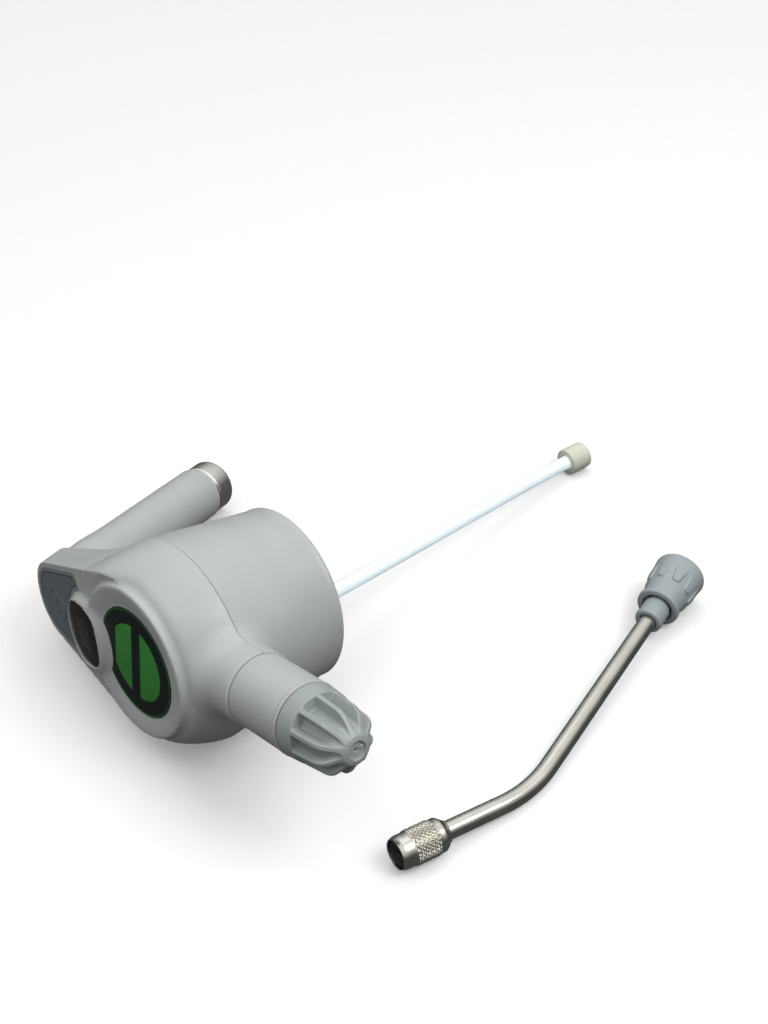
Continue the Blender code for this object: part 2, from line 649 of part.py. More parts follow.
# ---------------------------------------------------------------- battery and its cap
def make_battery():
    cap = [(0, END_CAP_LENGTH), (13.2, END_CAP_LENGTH), (END_CAP_RADIUS, END_CAP_LENGTH - 1.4),
           (END_CAP_RADIUS, 1.0), (13.9, GAP), (12.2, GAP), (12.2, -6.5), (9.5, -6.5), (9.5, -2.0), (0, -2.0)]
    turned("battery_cap", cap, "nickel", HANDLE, steps=32)
    contact = [(0, -2.3), (9.0, -2.3), (9.0, -3.3), (0, -3.3)]
    turned("cap_contact", contact, "brass", HANDLE, steps=24)
    turns, per_turn = 3, 9
    coil = []
    for i in range(turns * per_turn + 1):
        share = i / (turns * per_turn)
        angle = 2 * math.pi * i / per_turn
        radius = 6.5 - 3.0 * share
        coil.append((radius * math.cos(angle), radius * math.sin(angle), -4.3 - 10.5 * share))
    spring = tube_curve("battery_spring", coil, 0.5, 0.0, "steel", detail=1)
    place(spring, HANDLE, HEAD)
    low = -CELL_DEPTH - CELL_LENGTH
    cell = [(0, -CELL_DEPTH), (9.4, -CELL_DEPTH), (CELL_RADIUS, -CELL_DEPTH - 0.8), (CELL_RADIUS, low + 0.8),
            (9.4, low), (3.5, low), (3.5, low - 1.0), (0, low - 1.0)]
    turned("battery_cell", cell, "cell_wrap", HANDLE, steps=32)
    liner = [(11.0, -9.0), (12.1, -9.0), (12.1, -87.0), (11.0, -87.0)]
    turned("battery_liner", liner, "pump_resin", HANDLE, steps=32)
    plate = [(0, low - 1.5), (10.5, low - 1.5), (10.5, low - 2.5), (0, low - 2.5)]
    turned("cell_contact", plate, "brass", HANDLE, steps=24)


# ---------------------------------------------------------------- pump and motor
def gear_outline(offset):
    """Outline of a pump gear, with straight-sided teeth."""
    root, tip, root_half, tip_half = 4.7, 6.6, 0.26, 0.075
    outline = []
    for tooth in range(GEAR_TEETH):
        middle = 2 * math.pi * (tooth + offset) / GEAR_TEETH
        for radius, angle in ((root, -root_half), (tip, -tip_half), (tip, tip_half), (root, root_half)):
            outline.append((radius * math.cos(middle + angle), radius * math.sin(middle + angle)))
    return outline


def make_pump():
    """Gear pump: its shafts run along X, and +Z of this frame points to the nozzle."""
    drive_y = -GEAR_SPACING / 2
    drive = axis_frame((PUMP_X, drive_y, PUMP_Z), (1, 0, 0))
    idler = axis_frame((PUMP_X, -drive_y, PUMP_Z), (1, 0, 0))
    low_z, high_z = -56.5, -32.5
    body = part("pump_body", block("pump_body", (PUMP_X - 9, -17.0, low_z), (PUMP_X + 6, 17.0, high_z)),
                "pump_resin")
    for name, at in (("drive", drive), ("idler", idler)):
        cut(body, tool(name + "_chamber", cylinder(name, 7.1, -5.4, 20.0, 32), at))
    cut(body, tool("drive_shaft_hole", cylinder("drive_shaft_hole", 2.0, -20.0, 0.0, 16), drive))
    cut(body, tool("idler_pin_hole", cylinder("idler_pin_hole", 1.8, -7.5, 0.0, 16), idler))
    inlet = tool("pump_inlet", cylinder("pump_inlet", 1.6, -60.0, PUMP_Z, 12),
                 Matrix.Translation((PUMP_X, 0, 0)))
    cut(body, inlet)
    lid = part("pump_cover", block("pump_cover", (PUMP_X + 6.3, -17.0, low_z), (PUMP_X + 9, 17.0, high_z)),
               "gear_resin")
    outlet = axis_frame((PUMP_X + 9, 0, -36.5), (1, 0, 0))
    join(lid, tool("outlet_barb", cylinder("outlet_barb", 1.5, -1.0, 3.5, 12), outlet))
    cut(lid, tool("outlet_hole", cylinder("outlet_hole", 0.9, -6.0, 9.0, 12), outlet))
    shaft = part("drive_shaft", cylinder("drive_shaft", 1.5, -48.0, 5.0, 16), "steel", drive)
    gear = part("drive_gear", prism("drive_gear", gear_outline(0.0), -4.8, 5.0), "gear_resin", drive)
    cut(gear, tool("drive_gear_bore", cylinder("drive_gear_bore", 1.8, -9, 9, 16), drive))
    offset = 0.0 if GEAR_TEETH % 2 else 0.5
    pinion = part("idler_gear", prism("idler_gear", gear_outline(offset), -4.8, 5.0), "gear_resin", idler)
    cut(pinion, tool("idler_gear_bore", cylinder("idler_gear_bore", 1.8, -9, 9, 16), idler))
    part("idler_pin", cylinder("idler_pin", 1.5, -7.2, 5.0, 16), "steel", idler)
    back = -10.5
    can = [(3.0, back), (MOTOR_RADIUS, back), (MOTOR_RADIUS, back - MOTOR_LENGTH),
           (MOTOR_RADIUS - 1.0, back - MOTOR_LENGTH), (MOTOR_RADIUS - 1.0, back - 1.2), (3.0, back - 1.2)]
    turned("motor_can", can, "steel", drive, steps=32)
    end = back - MOTOR_LENGTH - GAP
    bell = [(2.0, end), (MOTOR_RADIUS, end), (MOTOR_RADIUS - 1.0, end - 3.0), (2.0, end - 3.0)]
    turned("motor_end_bell", bell, "pump_resin", drive, steps=32)
    rotor = [(1.8, back - 3), (9.0, back - 3), (9.0, back - 25), (4.0, back - 26), (4.0, end + 1.0),
             (1.8, end + 1.0)]
    turned("motor_rotor", rotor, "brass", drive, steps=24)


def make_water_path():
    fitting = [(0.9, -57.2), (3.4, -57.2), (3.4, -59.2), (4.0, -59.2), (4.0, -62.3), (7.0, -62.3),
               (7.0, -65.3), (2.3, -65.3), (2.3, -74.0), (1.8, -75.5), (0.9, -75.5)]
    turned("inlet_fitting", fitting, "pump_resin", Matrix.Translation((INLET_X, 0, 0)), steps=20)
    tube = bezier(TUBE_START, TUBE_START_PULL, TUBE_END_PULL, TUBE_END, 16)
    tube_curve("suction_tube", tube, TUBE_RADIUS, TUBE_WALL, "clear_tube", detail=2)
    end = Vector(TUBE_END)
    along = (end - Vector(TUBE_END_PULL)).normalized()
    r = WEIGHT_RADIUS
    half = WEIGHT_LENGTH / 2
    inner = TUBE_RADIUS + 2 * GAP
    weight = [(1.2, half), (r - 0.8, half), (r, half - 0.8), (r, 0.8 - half), (r - 0.8, -half),
              (inner, -half), (inner, 1.6), (1.2, 1.6)]
    turned("filter_weight", weight, "ceramic", axis_frame(end - along * 0.5, along), steps=28)
    start = (PUMP_X + 10.0, 0, -36.5)
    rear = NOZZLE @ Vector((0, 0, 49.5))
    before = NOZZLE @ Vector((0, 0, 36.0))
    hose = bezier(start, (PUMP_X + 20, 0, -36.5), before, rear, 10)
    tube_curve("outlet_hose", hose, 3.2, 1.0, "clear_tube", detail=1)


def make_leads():
    low = Vector(HANDLE_END) - HANDLE_AXIS * 89.8
    path = bezier((-92.0, 0.0, -20.4), (-101.0, 0.0, -20.4), low - HANDLE_AXIS * 25, low, 8)
    tube_curve("battery_lead", path, 0.8, 0.0, "red_wire", detail=1)
    motor = bezier((-34.0, -6.0, -19.0), (-34.0, -6.0, -26.0), (-36.0, -12.0, -30.0),
                   (-28.0, -12.0, -38.0), 8)
    tube_curve("motor_lead", motor, 0.8, 0.0, "red_wire", detail=1)


# ---------------------------------------------------------------- lance
def lance_runs():
    nut, corner, tip = (Vector(p) for p in (LANCE_NUT, LANCE_CORNER, LANCE_TIP))
    return nut, corner, tip, (corner - nut).normalized(), (tip - corner).normalized()


def lance_line(start, end):
    """Points along the lance's axis: a straight run, one round bend, a straight run."""
    nut, corner, tip, first, second = lance_runs()
    bend = first.angle(second)
    cut_back = LANCE_BEND_RADIUS * math.tan(bend / 2)
    inward = (second - first).normalized()
    centre = corner + inward * LANCE_BEND_RADIUS / math.cos(bend / 2)
    points = [nut + first * start]
    points.append((points[0] + corner - first * cut_back) / 2)
    steps = 10
    arm = corner - first * cut_back - centre
    axis = first.cross(second).normalized()
    points += [centre + Matrix.Rotation(bend * i / steps, 4, axis) @ arm for i in range(steps + 1)]
    points += [(points[-1] + tip - second * end) / 2, tip - second * end]
    return points


def make_lance():
    nut, corner, tip, first, second = lance_runs()
    near = axis_frame(nut, first)
    far = axis_frame(tip, second)
    tube = tube_curve("lance_tube", lance_line(9.5, BELL_LENGTH - 3.5), LANCE_TUBE_RADIUS, 1.0, "nickel",
                      LANCE, detail=3)
    tube.data.use_fill_caps = False
    r, length = NUT_RADIUS, NUT_LENGTH
    nut_profile = [(LANCE_TUBE_RADIUS + GAP, length), (5.9, length), (r - 0.6, length - 4.0),
                   (r - 0.3, length - 7.0), (r, length - 7.5), (r, 7.5), (r - 0.3, 7.0), (r - 0.3, 2.4),
                   (r - 1.0, 0.0), (7.0, 0.0), (7.0, 15.0), (LANCE_TUBE_RADIUS + GAP, 15.0)]
    turned("lance_nut", nut_profile, "nickel", near, LANCE, steps=28)
    ferrule = [(LANCE_TUBE_RADIUS + GAP, 14.5), (6.6, 14.5), (6.6, 9.0), (2.5, 8.0), (2.5, 9.2),
               (LANCE_TUBE_RADIUS + GAP, 9.2)]
    turned("lance_ferrule", ferrule, "brass", near, LANCE, steps=24)
    washer = [(1.6, 7.5), (6.6, 7.5), (6.6, 1.2), (3.0, 1.2), (1.6, 2.2)]
    turned("lance_washer", washer, "black_rubber", near, LANCE, steps=24)
    low = -BELL_LENGTH
    collar = [(LANCE_TUBE_RADIUS + GAP, low + 3.0), (6.6, low + 3.0), (6.6, low - GAP),
              (7.6, low - GAP), (7.6, low - 9.5), (7.0, low - 12.0), (LANCE_TUBE_RADIUS + GAP, low - 12.0)]
    turned("lance_collar", collar, "cap_plastic", far, LANCE, steps=24)
    b = BELL_RADIUS
    bell = [(b - 1.8, 0.0), (b - 1.0, 0.0), (b, -1.0), (b - 0.4, -8.0), (b - 1.6, -18.0), (11.0, -26.0),
            (10.4, -29.0), (9.6, low), (7.1, low), (7.1, low + 8.0), (1.0, low + 8.0), (1.0, low + 11.0),
            (7.4, low + 11.0), (b - 3.6, -17.5)]
    turned("lance_nozzle", bell, "cap_plastic", far, LANCE, steps=32)


def main():
    bore, below, above, boss = shared_tools()
    opening = make_top_cover(bore, below, boss)
    make_lower_housing(bore, above, boss)
    make_handle()
    make_gasket_and_screws()
    make_panel(opening)
    make_nozzle()
    make_spray_cap()
    make_battery()
    make_pump()
    make_water_path()
    make_leads()
    make_lance()


main()
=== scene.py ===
"""Looks of the cordless sprayer head and its bent lance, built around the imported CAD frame.

Shapes are given in millimetres, mostly in the head's own upright frame: +X runs to the nozzle,
+Z out of the panel, and the origin is on the axis of the round body at the panel.
"""
import json
import math

import bpy
import numpy as np
from mathutils import Matrix, Vector


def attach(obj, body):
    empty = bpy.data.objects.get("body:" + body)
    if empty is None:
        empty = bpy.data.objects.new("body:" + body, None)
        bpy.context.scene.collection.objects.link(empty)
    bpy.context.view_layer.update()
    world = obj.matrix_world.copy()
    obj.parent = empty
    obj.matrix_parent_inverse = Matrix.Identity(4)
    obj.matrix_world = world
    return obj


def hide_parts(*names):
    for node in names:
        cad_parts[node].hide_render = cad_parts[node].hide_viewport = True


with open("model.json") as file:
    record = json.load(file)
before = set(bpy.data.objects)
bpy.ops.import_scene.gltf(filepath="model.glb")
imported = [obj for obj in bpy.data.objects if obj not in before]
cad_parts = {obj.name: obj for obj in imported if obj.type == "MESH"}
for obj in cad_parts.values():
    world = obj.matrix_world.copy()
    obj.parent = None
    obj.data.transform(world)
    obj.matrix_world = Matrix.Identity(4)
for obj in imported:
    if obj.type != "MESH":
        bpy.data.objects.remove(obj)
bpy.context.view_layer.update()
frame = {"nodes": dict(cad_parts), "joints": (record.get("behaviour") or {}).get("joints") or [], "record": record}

MM = 0.001
JOINTS = {joint["name"]: joint for joint in frame["joints"]}

# ---------------------------------------------------------------- dimensions, in millimetres
SEAM_Z = -29.2
BODY_RADIUS = 53.5
MOUTH_RADIUS = 46.0
MOUTH_Z = -94.0
BULKHEAD_Z = -62.0
MOUTH_LIP = 0.55
SOCKET_RADIUS = 43.0
THREAD_START = -68.0
THREAD_PITCH = 8.0
THREAD_HEIGHT = 1.2
SCREW_PLACES = ((-20.0, -25.0), (-20.0, 25.0), (20.0, -25.0), (20.0, 25.0))
SCREW_HOLE = 1.9
WALL = 2.5
COVER_WALL = WALL + 0.8
ROOM_RADIUS = 50.0
SEAM_GAP = 0.14
PANEL_CIRCLES = ((0.0, 0.0, 39.2), (-14.0, 3.6, 39.0), (-87.2, 1.3, 21.3))
ROOT_CIRCLES = ((0.0, 0.0, 39.2), (-98.4, 1.3, 19.4))
PANEL_FALL_X = -26.0
PANEL_SLOPE = math.radians(6.5)
EDGE_POWER = 1.45
DISH_DEPTH = 0.45
LABEL_X = 0.8
LABEL_RADIUS = 29.3
LABEL_TURN = math.radians(-14.0)
LABEL_HALF_RADIUS = 20.5
LABEL_HALF_GAP = 3.6
LABEL_HALF_REAR = 17.5
BEZEL_X = -44.5
BEZEL_HEIGHT = 4.2
RING_RADIUS = 40.7
RING_X = -0.6
RING_TOP = 1.5
RING_FOOT_OFFSET = 1.1
RING_FOOT_WIDTH = 2.4
RING_FOOT_DEPTH = 0.9
WINDOW_HALF = (16.0, 17.3)
FILM_ORIGIN = -75.0
FILM_MARGIN = 2.3
FILM_HEIGHT = 0.22
FILM_GROOVE_INSET = 2.7
FILM_GROOVE_HALF = 0.28
BUTTON_X = -83.0
BUTTON_HALF = (9.2, 8.0)
BUTTON_GAP = 0.25
NOZZLE_Z = -27.9
NOZZLE_TILT = math.radians(2.5)
NOZZLE_RADIUS = 18.2
NOZZLE_BASE = 69.0
BOSS_RADIUS = NOZZLE_RADIUS + 0.85
BOSS_ROOT = 36.0
THROAT_RADIUS = 14.3
THROAT_START = 40.0
CAP_START = 107.0
CAP_TIP = 142.0
CAP_RIBS = 10
CAP_RIB_HALF = 1.3
CAP_RING_LENGTH = 9.6
CAP_DRAFT = 0.078
CAP_CORE_RADIUS = 11.3
CAP_FACE_RADIUS = 6.6
CAP_HUB_RADIUS = 7.4
CAP_DIMPLE_RADIUS = 4.4
CAP_DIMPLE_DEPTH = 0.45
CAP_JET_RADIUS = 0.7
HANDLE_RADIUS = 15.8
HANDLE_SWELL = 1.8
HANDLE_SWELL_SPAN = (75.0, 125.0)
HANDLE_LENGTH = 112.0
HANDLE_BORE = (12.5, 92.0)
LEAD_BORE = (7.0, 118.0)
TUBE_X = 22.0
TUBE_START = -66.0
TUBE_RADII = (4.0, 3.0)
LANCE_RADIUS = 4.6
LANCE_BEND_RADIUS = 75.0
LANCE_START = 9.5
NUT_RADIUS = 8.6
NUT_LENGTH = 28.0
KNURL_LOW, KNURL_HIGH = 7.6, 20.4
KNURL_STARTS = 24
KNURL_PITCH = 2.5
BELL_RADIUS = 14.2
BELL_LENGTH = 30.5
GRIP_PADS = 9
GRIP_TURN = math.radians(12.5)

# ---------------------------------------------------------------- the stage, in metres
FLOOR_HALF = 6.0
FLOOR_LEVEL = -0.0004
BACKDROP_RADIUS = 5.6
BACKDROP_HEIGHT = 6.0
FLOOR_GLOW = 0.15
BACKDROP_GLOW = 0.52
DOME_LOW = 0.08
DOME_HIGH = 0.95
EYE = (0.53065, -0.44874, 0.56656)
AIM = (-0.06397, 0.05166, 0.0)
CAMERA_ROLL = math.radians(-4.09115)
FOCAL_LENGTH = 56.39


# ---------------------------------------------------------------- frames


def axis_frame(origin, direction):
    """Frame in metres with its +Z along a direction."""
    turn = Vector(direction).to_track_quat("Z", "Y").to_matrix().to_4x4()
    return Matrix.Translation(Vector(origin)) @ turn


def joint_frame(name):
    return axis_frame(JOINTS[name]["pos_m"], JOINTS[name]["axis"])


def head_frame():
    """The head's own frame, from the axes of its nozzle and its handle, which lie in its XZ plane."""
    way = Vector(JOINTS["cap_turn"]["axis"]).normalized()
    y = way.cross(Vector(JOINTS["battery_cap_turn"]["axis"])).normalized()
    x = way * math.cos(NOZZLE_TILT) - way.cross(y) * math.sin(NOZZLE_TILT)
    z = x.cross(y)
    origin = Vector(JOINTS["cap_turn"]["pos_m"]) - z * (NOZZLE_Z * MM)
    return Matrix.Translation(origin) @ Matrix((x, y, z)).transposed().to_4x4()


HEAD = head_frame()


def levelled(place):
    """The same frame turned about its +Z until its +X follows the head's +Y."""
    z = place.to_3x3().col[2]
    y = z.cross(HEAD.to_3x3().col[1]).normalized()
    turn = Matrix((y.cross(z), y, z)).transposed().to_4x4()
    return Matrix.Translation(place.translation) @ turn


NOZZLE = levelled(joint_frame("cap_turn"))
HANDLE = joint_frame("battery_cap_turn")
LANCE_NEAR = joint_frame("lance_nut_turn")
LANCE_FAR = joint_frame("lance_nozzle_turn")
NOZZLE_IN_HEAD = HEAD.inverted() @ NOZZLE
HANDLE_IN_HEAD = HEAD.inverted() @ HANDLE


# ---------------------------------------------------------------- materials
GRAIN_DEPTH = 0.00005


def new_material(name):
    material = bpy.data.materials.new(name)
    material.use_nodes = True
    return material, material.node_tree.nodes, material.node_tree.links


def noise(nodes, links, coords, scale, detail=3.0, roughness=0.5):
    node = nodes.new("ShaderNodeTexNoise")
    node.inputs["Scale"].default_value = scale
    node.inputs["Detail"].default_value = detail
    node.inputs["Roughness"].default_value = roughness
    links.new(coords, node.inputs["Vector"])
    return node.outputs["Fac"]


def spread(nodes, links, value, low, high):
    """Maps the useful part of a noise value to a range."""
    node = nodes.new("ShaderNodeMapRange")
    node.inputs["From Min"].default_value = 0.3
    node.inputs["From Max"].default_value = 0.7
    node.inputs["To Min"].default_value = low
    node.inputs["To Max"].default_value = high
    links.new(value, node.inputs["Value"])
    return node.outputs["Result"]


def tinted(nodes, links, value, dark, light):
    node = nodes.new("ShaderNodeValToRGB")
    low, high = node.color_ramp.elements
    low.position, high.position = 0.32, 0.68
    low.color, high.color = (*dark, 1.0), (*light, 1.0)
    links.new(value, node.inputs["Fac"])
    return node.outputs["Color"]


def surface(name, colour, rough, metallic=0.0, vary=0.05, grain=1800.0, bump=0.1, rough_vary=0.05,
            specular=0.5, stretch=(1.0, 1.0, 1.0), blotch=60.0):
    """A moulded, painted or plated surface: fine grain in its relief, soft drift in colour and gloss."""
    material, nodes, links = new_material(name)
    shader = nodes["Principled BSDF"]
    shader.inputs["Metallic"].default_value = metallic
    shader.inputs["Specular IOR Level"].default_value = specular
    coords = nodes.new("ShaderNodeTexCoord").outputs["Object"]
    mapping = nodes.new("ShaderNodeMapping")
    mapping.inputs["Scale"].default_value = stretch
    links.new(coords, mapping.inputs["Vector"])
    fine = noise(nodes, links, mapping.outputs["Vector"], grain)
    broad = noise(nodes, links, coords, blotch, 4.0)
    mix = nodes.new("ShaderNodeMath")
    mix.operation = "MULTIPLY_ADD"
    mix.inputs[1].default_value = 0.5
    links.new(fine, mix.inputs[0])
    half = nodes.new("ShaderNodeMath")
    half.operation = "MULTIPLY"
    half.inputs[1].default_value = 0.5
    links.new(broad, half.inputs[0])
    links.new(half.outputs[0], mix.inputs[2])
    dark = [c * (1 - vary) for c in colour]
    light = [min(c * (1 + vary), 1.0) for c in colour]
    links.new(tinted(nodes, links, mix.outputs[0], dark, light), shader.inputs["Base Color"])
    links.new(spread(nodes, links, broad, rough - rough_vary, rough + rough_vary),
              shader.inputs["Roughness"])
    relief = nodes.new("ShaderNodeBump")
    relief.inputs["Strength"].default_value = bump
    relief.inputs["Distance"].default_value = GRAIN_DEPTH
    links.new(fine, relief.inputs["Height"])
    links.new(relief.outputs["Normal"], shader.inputs["Normal"])
    return material


def glow(material, colour, strength):
    shader = material.node_tree.nodes["Principled BSDF"]
    shader.inputs["Emission Color"].default_value = (*colour, 1.0)
    shader.inputs["Emission Strength"].default_value = strength


def make_materials():
    grey = (0.475, 0.503, 0.487)
    m = {
        "body": surface("grey_moulding", grey, 0.40, grain=1500.0, bump=0.35, vary=0.045),
        "cap": surface("blue_grey_moulding", (0.355, 0.39, 0.39), 0.32, grain=900.0, bump=0.15),
        "bell": surface("bell_moulding", (0.34, 0.385, 0.40), 0.36, grain=1200.0, bump=0.2),
        "film": surface("slate_film", (0.155, 0.18, 0.20), 0.42, grain=2600.0, bump=0.3, vary=0.12),
        "film_edge": surface("slate_film_edge", (0.25, 0.28, 0.295), 0.40, grain=2600.0, bump=0.3),
        "groove": surface("film_groove", (0.035, 0.04, 0.045), 0.6, grain=2600.0, bump=0.1),
        "window": surface("window_gloss", (0.006, 0.006, 0.008), 0.10, grain=500.0, bump=0.01,
                          rough_vary=0.03, vary=0.3, specular=0.35),
        "screen": surface("screen", (0.02, 0.021, 0.024), 0.25, grain=3500.0, bump=0.03, vary=0.5),
        "label_black": surface("label_black", (0.007, 0.012, 0.011), 0.36, grain=3000.0, bump=0.15,
                               vary=0.5, specular=0.25),
        "label_green": surface("label_green", (0.045, 0.27, 0.045), 0.40, grain=3000.0, bump=0.2,
                               vary=0.14, specular=0.25),
        "label_rim": surface("label_rim", (0.014, 0.13, 0.03), 0.40, grain=3000.0, bump=0.2,
                             specular=0.25),
        "icon": surface("icon_green", (0.05, 0.14, 0.08), 0.5, grain=3000.0, bump=0.1),
        "nickel": surface("nickel_plate", (0.84, 0.83, 0.79), 0.24, 1.0, grain=700.0, bump=0.05,
                          rough_vary=0.06, stretch=(1.0, 0.05, 1.0)),
        "lance": surface("lance_nickel", (0.66, 0.645, 0.58), 0.22, 1.0, grain=900.0, bump=0.08,
                         rough_vary=0.07, stretch=(1.0, 0.04, 1.0), vary=0.08),
        "steel": surface("plain_steel", (0.5, 0.5, 0.51), 0.35, 1.0),
        "brass": surface("plain_brass", (0.60, 0.42, 0.16), 0.32, 1.0),
        "rubber": surface("black_rubber", (0.016, 0.016, 0.017), 0.62, grain=1200.0, bump=0.3,
                          vary=0.3),
        "ceramic": surface("cream_ceramic", (0.70, 0.70, 0.575), 0.55, grain=1600.0, bump=0.25),
        "resin": surface("dark_resin", (0.05, 0.05, 0.055), 0.5, vary=0.2),
        "ivory": surface("ivory_resin", (0.78, 0.76, 0.68), 0.45),
        "board": surface("circuit_board", (0.01, 0.12, 0.05), 0.45, vary=0.25, blotch=400.0),
        "cell": surface("cell_wrap", (0.02, 0.12, 0.30), 0.35),
        "wire": surface("wire_jacket", (0.5, 0.02, 0.02), 0.5),
        "tube": surface("milky_tube_painted_glow", (0.90, 0.975, 1.0), 0.34, grain=500.0, bump=0.04, vary=0.02),
    }
    tube = m["tube"].node_tree.nodes["Principled BSDF"]
    tube.inputs["Transmission Weight"].default_value = 0.10
    tube.inputs["Subsurface Weight"].default_value = 0.45
    tube.inputs["Subsurface Radius"].default_value = (0.004, 0.005, 0.006)
    tube.inputs["Subsurface Scale"].default_value = 1.0
    # painted light: the tube glows faintly so that it reads paler and brighter than the lamps light it
    glow(m["tube"], (0.80, 0.93, 1.0), 0.20)
    return m


MATERIALS = make_materials()
CARRIED = {
    "grey_plastic": "body", "cap_plastic": "cap", "slate_film": "film", "black_gloss": "window",
    "black_rubber": "rubber", "label_green": "label_green", "nickel": "nickel", "steel": "steel",
    "brass": "brass", "board_green": "board", "clear_tube": "tube", "ceramic": "ceramic",
    "pump_resin": "resin", "gear_resin": "ivory", "cell_wrap": "cell", "red_wire": "wire",
}


def paint_cad_nodes():
    for row in frame["record"]["subparts"]:
        node = frame["nodes"][row["node"]]
        node.data.materials.clear()
        node.data.materials.append(MATERIALS[CARRIED[row["material_slot"]]])


# ---------------------------------------------------------------- meshes
def add_piece(name, points, faces, body, materials, place=None, replaces=(), crease=32.0,
              normals=None, shades=None):
    """A mesh from points in millimetres in the frame `place`, riding on a CAD body."""
    mesh = bpy.data.meshes.new(name)
    points = np.asarray(points, float) * MM
    matrix = np.array(place if place is not None else HEAD)
    world = points @ matrix[:3, :3].T + matrix[:3, 3]
    mesh.from_pydata(world.tolist(), [], [list(face) for face in faces])
    kinds = [materials] if isinstance(materials, str) else list(materials)
    for kind in kinds:
        mesh.materials.append(MATERIALS[kind])
    if shades is not None:
        mesh.polygons.foreach_set("material_index", np.asarray(shades, np.int32))
    mesh.shade_smooth()
    if normals is not None:
        turned = np.asarray(normals, float) @ matrix[:3, :3].T
        mesh.normals_split_custom_set_from_vertices(turned.tolist())
    elif crease is not None:
        mesh.set_sharp_from_angle(angle=math.radians(crease))
    mesh.update()
    piece = bpy.data.objects.new(name, mesh)
    bpy.context.scene.collection.objects.link(piece)
    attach(piece, body)
    if replaces:
        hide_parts(*replaces)
    return piece


def rounded(corners, closed, steps=5):
    """Points of a line whose corners (x, y, radius) are rounded."""
    count = len(corners)
    line = []
    for i, (x, y, radius) in enumerate(corners):
        here = np.array((x, y), float)
        if radius <= 0 or (not closed and i in (0, count - 1)):
            line.append(here)
            continue
        back = np.array(corners[i - 1][:2], float) - here
        ahead = np.array(corners[(i + 1) % count][:2], float) - here
        a, b = np.linalg.norm(back), np.linalg.norm(ahead)
        reach = min(radius, 0.48 * a, 0.48 * b)
        for j in range(steps + 1):
            t = j / steps
            line.append(here + back / a * reach * (1 - t) ** 2 + ahead / b * reach * t * t)
    return np.array(line)


def revolve(name, profile, body, material, place, replaces=(), count=128, radius=None,
            closed=True, steps=5, crease=32.0):
    """Turns a profile of (radius, z, rounding) corners about Z. radius(angle, r, z) may bend it."""
    line = rounded(profile, closed, steps)
    angles = np.arange(count) * 2 * math.pi / count
    points, rings = [], []
    for r, z in line:
        if r < 1e-6:
            rings.append([len(points)] * count)
            points.append((0.0, 0.0, z))
            continue
        rings.append(list(range(len(points), len(points) + count)))
        for angle in angles:
            reach = r if radius is None else radius(angle, r, z)
            points.append((reach * math.cos(angle), reach * math.sin(angle), z))
    faces = []
    pairs = list(zip(rings, rings[1:]))
    if closed:
        pairs.append((rings[-1], rings[0]))
    for a, b in pairs:
        if a[0] == a[1] and b[0] == b[1]:
            continue
        for i in range(count):
            j = (i + 1) % count
            corners = [a[i], a[j], b[j], b[i]]
            face = [c for k, c in enumerate(corners) if c != corners[k - 1]]
            faces.append(face)
    return add_piece(name, points, faces, body, material, place, replaces, crease)


def plate(name, outline, low, high, bevel, body, material, place, replaces=(), crease=32.0):
    """A flat piece with rounded upper edges over an outline that is convex or nearly so."""
    line = np.asarray(outline, float)
    ahead = np.roll(line, -1, 0) - line
    behind = line - np.roll(line, 1, 0)
    way = ahead / np.linalg.norm(ahead, axis=1)[:, None]
    way += behind / np.linalg.norm(behind, axis=1)[:, None]
    way /= np.linalg.norm(way, axis=1)[:, None]
    inward = np.stack((-way[:, 1], way[:, 0]), 1)
    levels = [(0.0, low), (0.0, high - bevel)]
    for a in (0.4, 0.8, 1.2, 1.57):
        levels.append((bevel * (1 - math.cos(a)), high - bevel + bevel * math.sin(a)))
    points = [(*(p + inward[i] * inset), z) for inset, z in levels for i, p in enumerate(line)]
    n = len(line)
    faces = [list(range(n - 1, -1, -1)), list(range((len(levels) - 1) * n, len(levels) * n))]
    for k in range(len(levels) - 1):
        for i in range(n):
            j = (i + 1) % n
            faces.append((k * n + i, k * n + j, (k + 1) * n + j, (k + 1) * n + i))
    return add_piece(name, points, faces, body, material, place, replaces, crease)


def ellipse(half_x, half_y, count, power):
    """A rounded outline: an ellipse at power 2, squarer above it."""
    points = []
    for i in range(count):
        a = 2 * math.pi * i / count
        c, s = math.cos(a), math.sin(a)
        points.append((half_x * math.copysign(abs(c) ** (2 / power), c),
                       half_y * math.copysign(abs(s) ** (2 / power), s)))
    return points


def sweep(name, line, rings, body, material, place, replaces=(), count=40):
    """A tube along a line, with its outer and inner radius in rings."""
    line = np.asarray(line, float)
    along = np.gradient(line, axis=0)
    along /= np.linalg.norm(along, axis=1)[:, None]
    side = np.cross(along[0], (0.0, 0.0, 1.0))
    frames = []
    for t in along:
        side = side - (side @ t) * t
        side /= np.linalg.norm(side)
        frames.append((side.copy(), np.cross(t, side)))
    outer, inner = rings
    order = [(i, outer) for i in range(len(line))] + [(i, inner) for i in range(len(line) - 1, -1, -1)]
    points = []
    for i, r in order:
        for k in range(count):
            a = 2 * math.pi * k / count
            points.append(line[i] + r * (math.cos(a) * frames[i][0] + math.sin(a) * frames[i][1]))
    faces = []
    for row in range(len(order)):
        a, b = row * count, (row + 1) % len(order) * count
        for k in range(count):
            j = (k + 1) % count
            faces.append((a + k, a + j, b + j, b + k))
    return add_piece(name, points, faces, body, material, place, replaces, 40.0)


# ---------------------------------------------------------------- solids given by a distance field
def smin(a, b, k):
    h = np.clip(0.5 + 0.5 * (b - a) / k, 0.0, 1.0)
    return b + (a - b) * h - k * h * (1 - h)


def smax(a, b, k):
    return -smin(-a, -b, k)


def ramp(x, low, high):
    t = np.clip((x - low) / (high - low), 0.0, 1.0)
    return t * t * (3 - 2 * t)


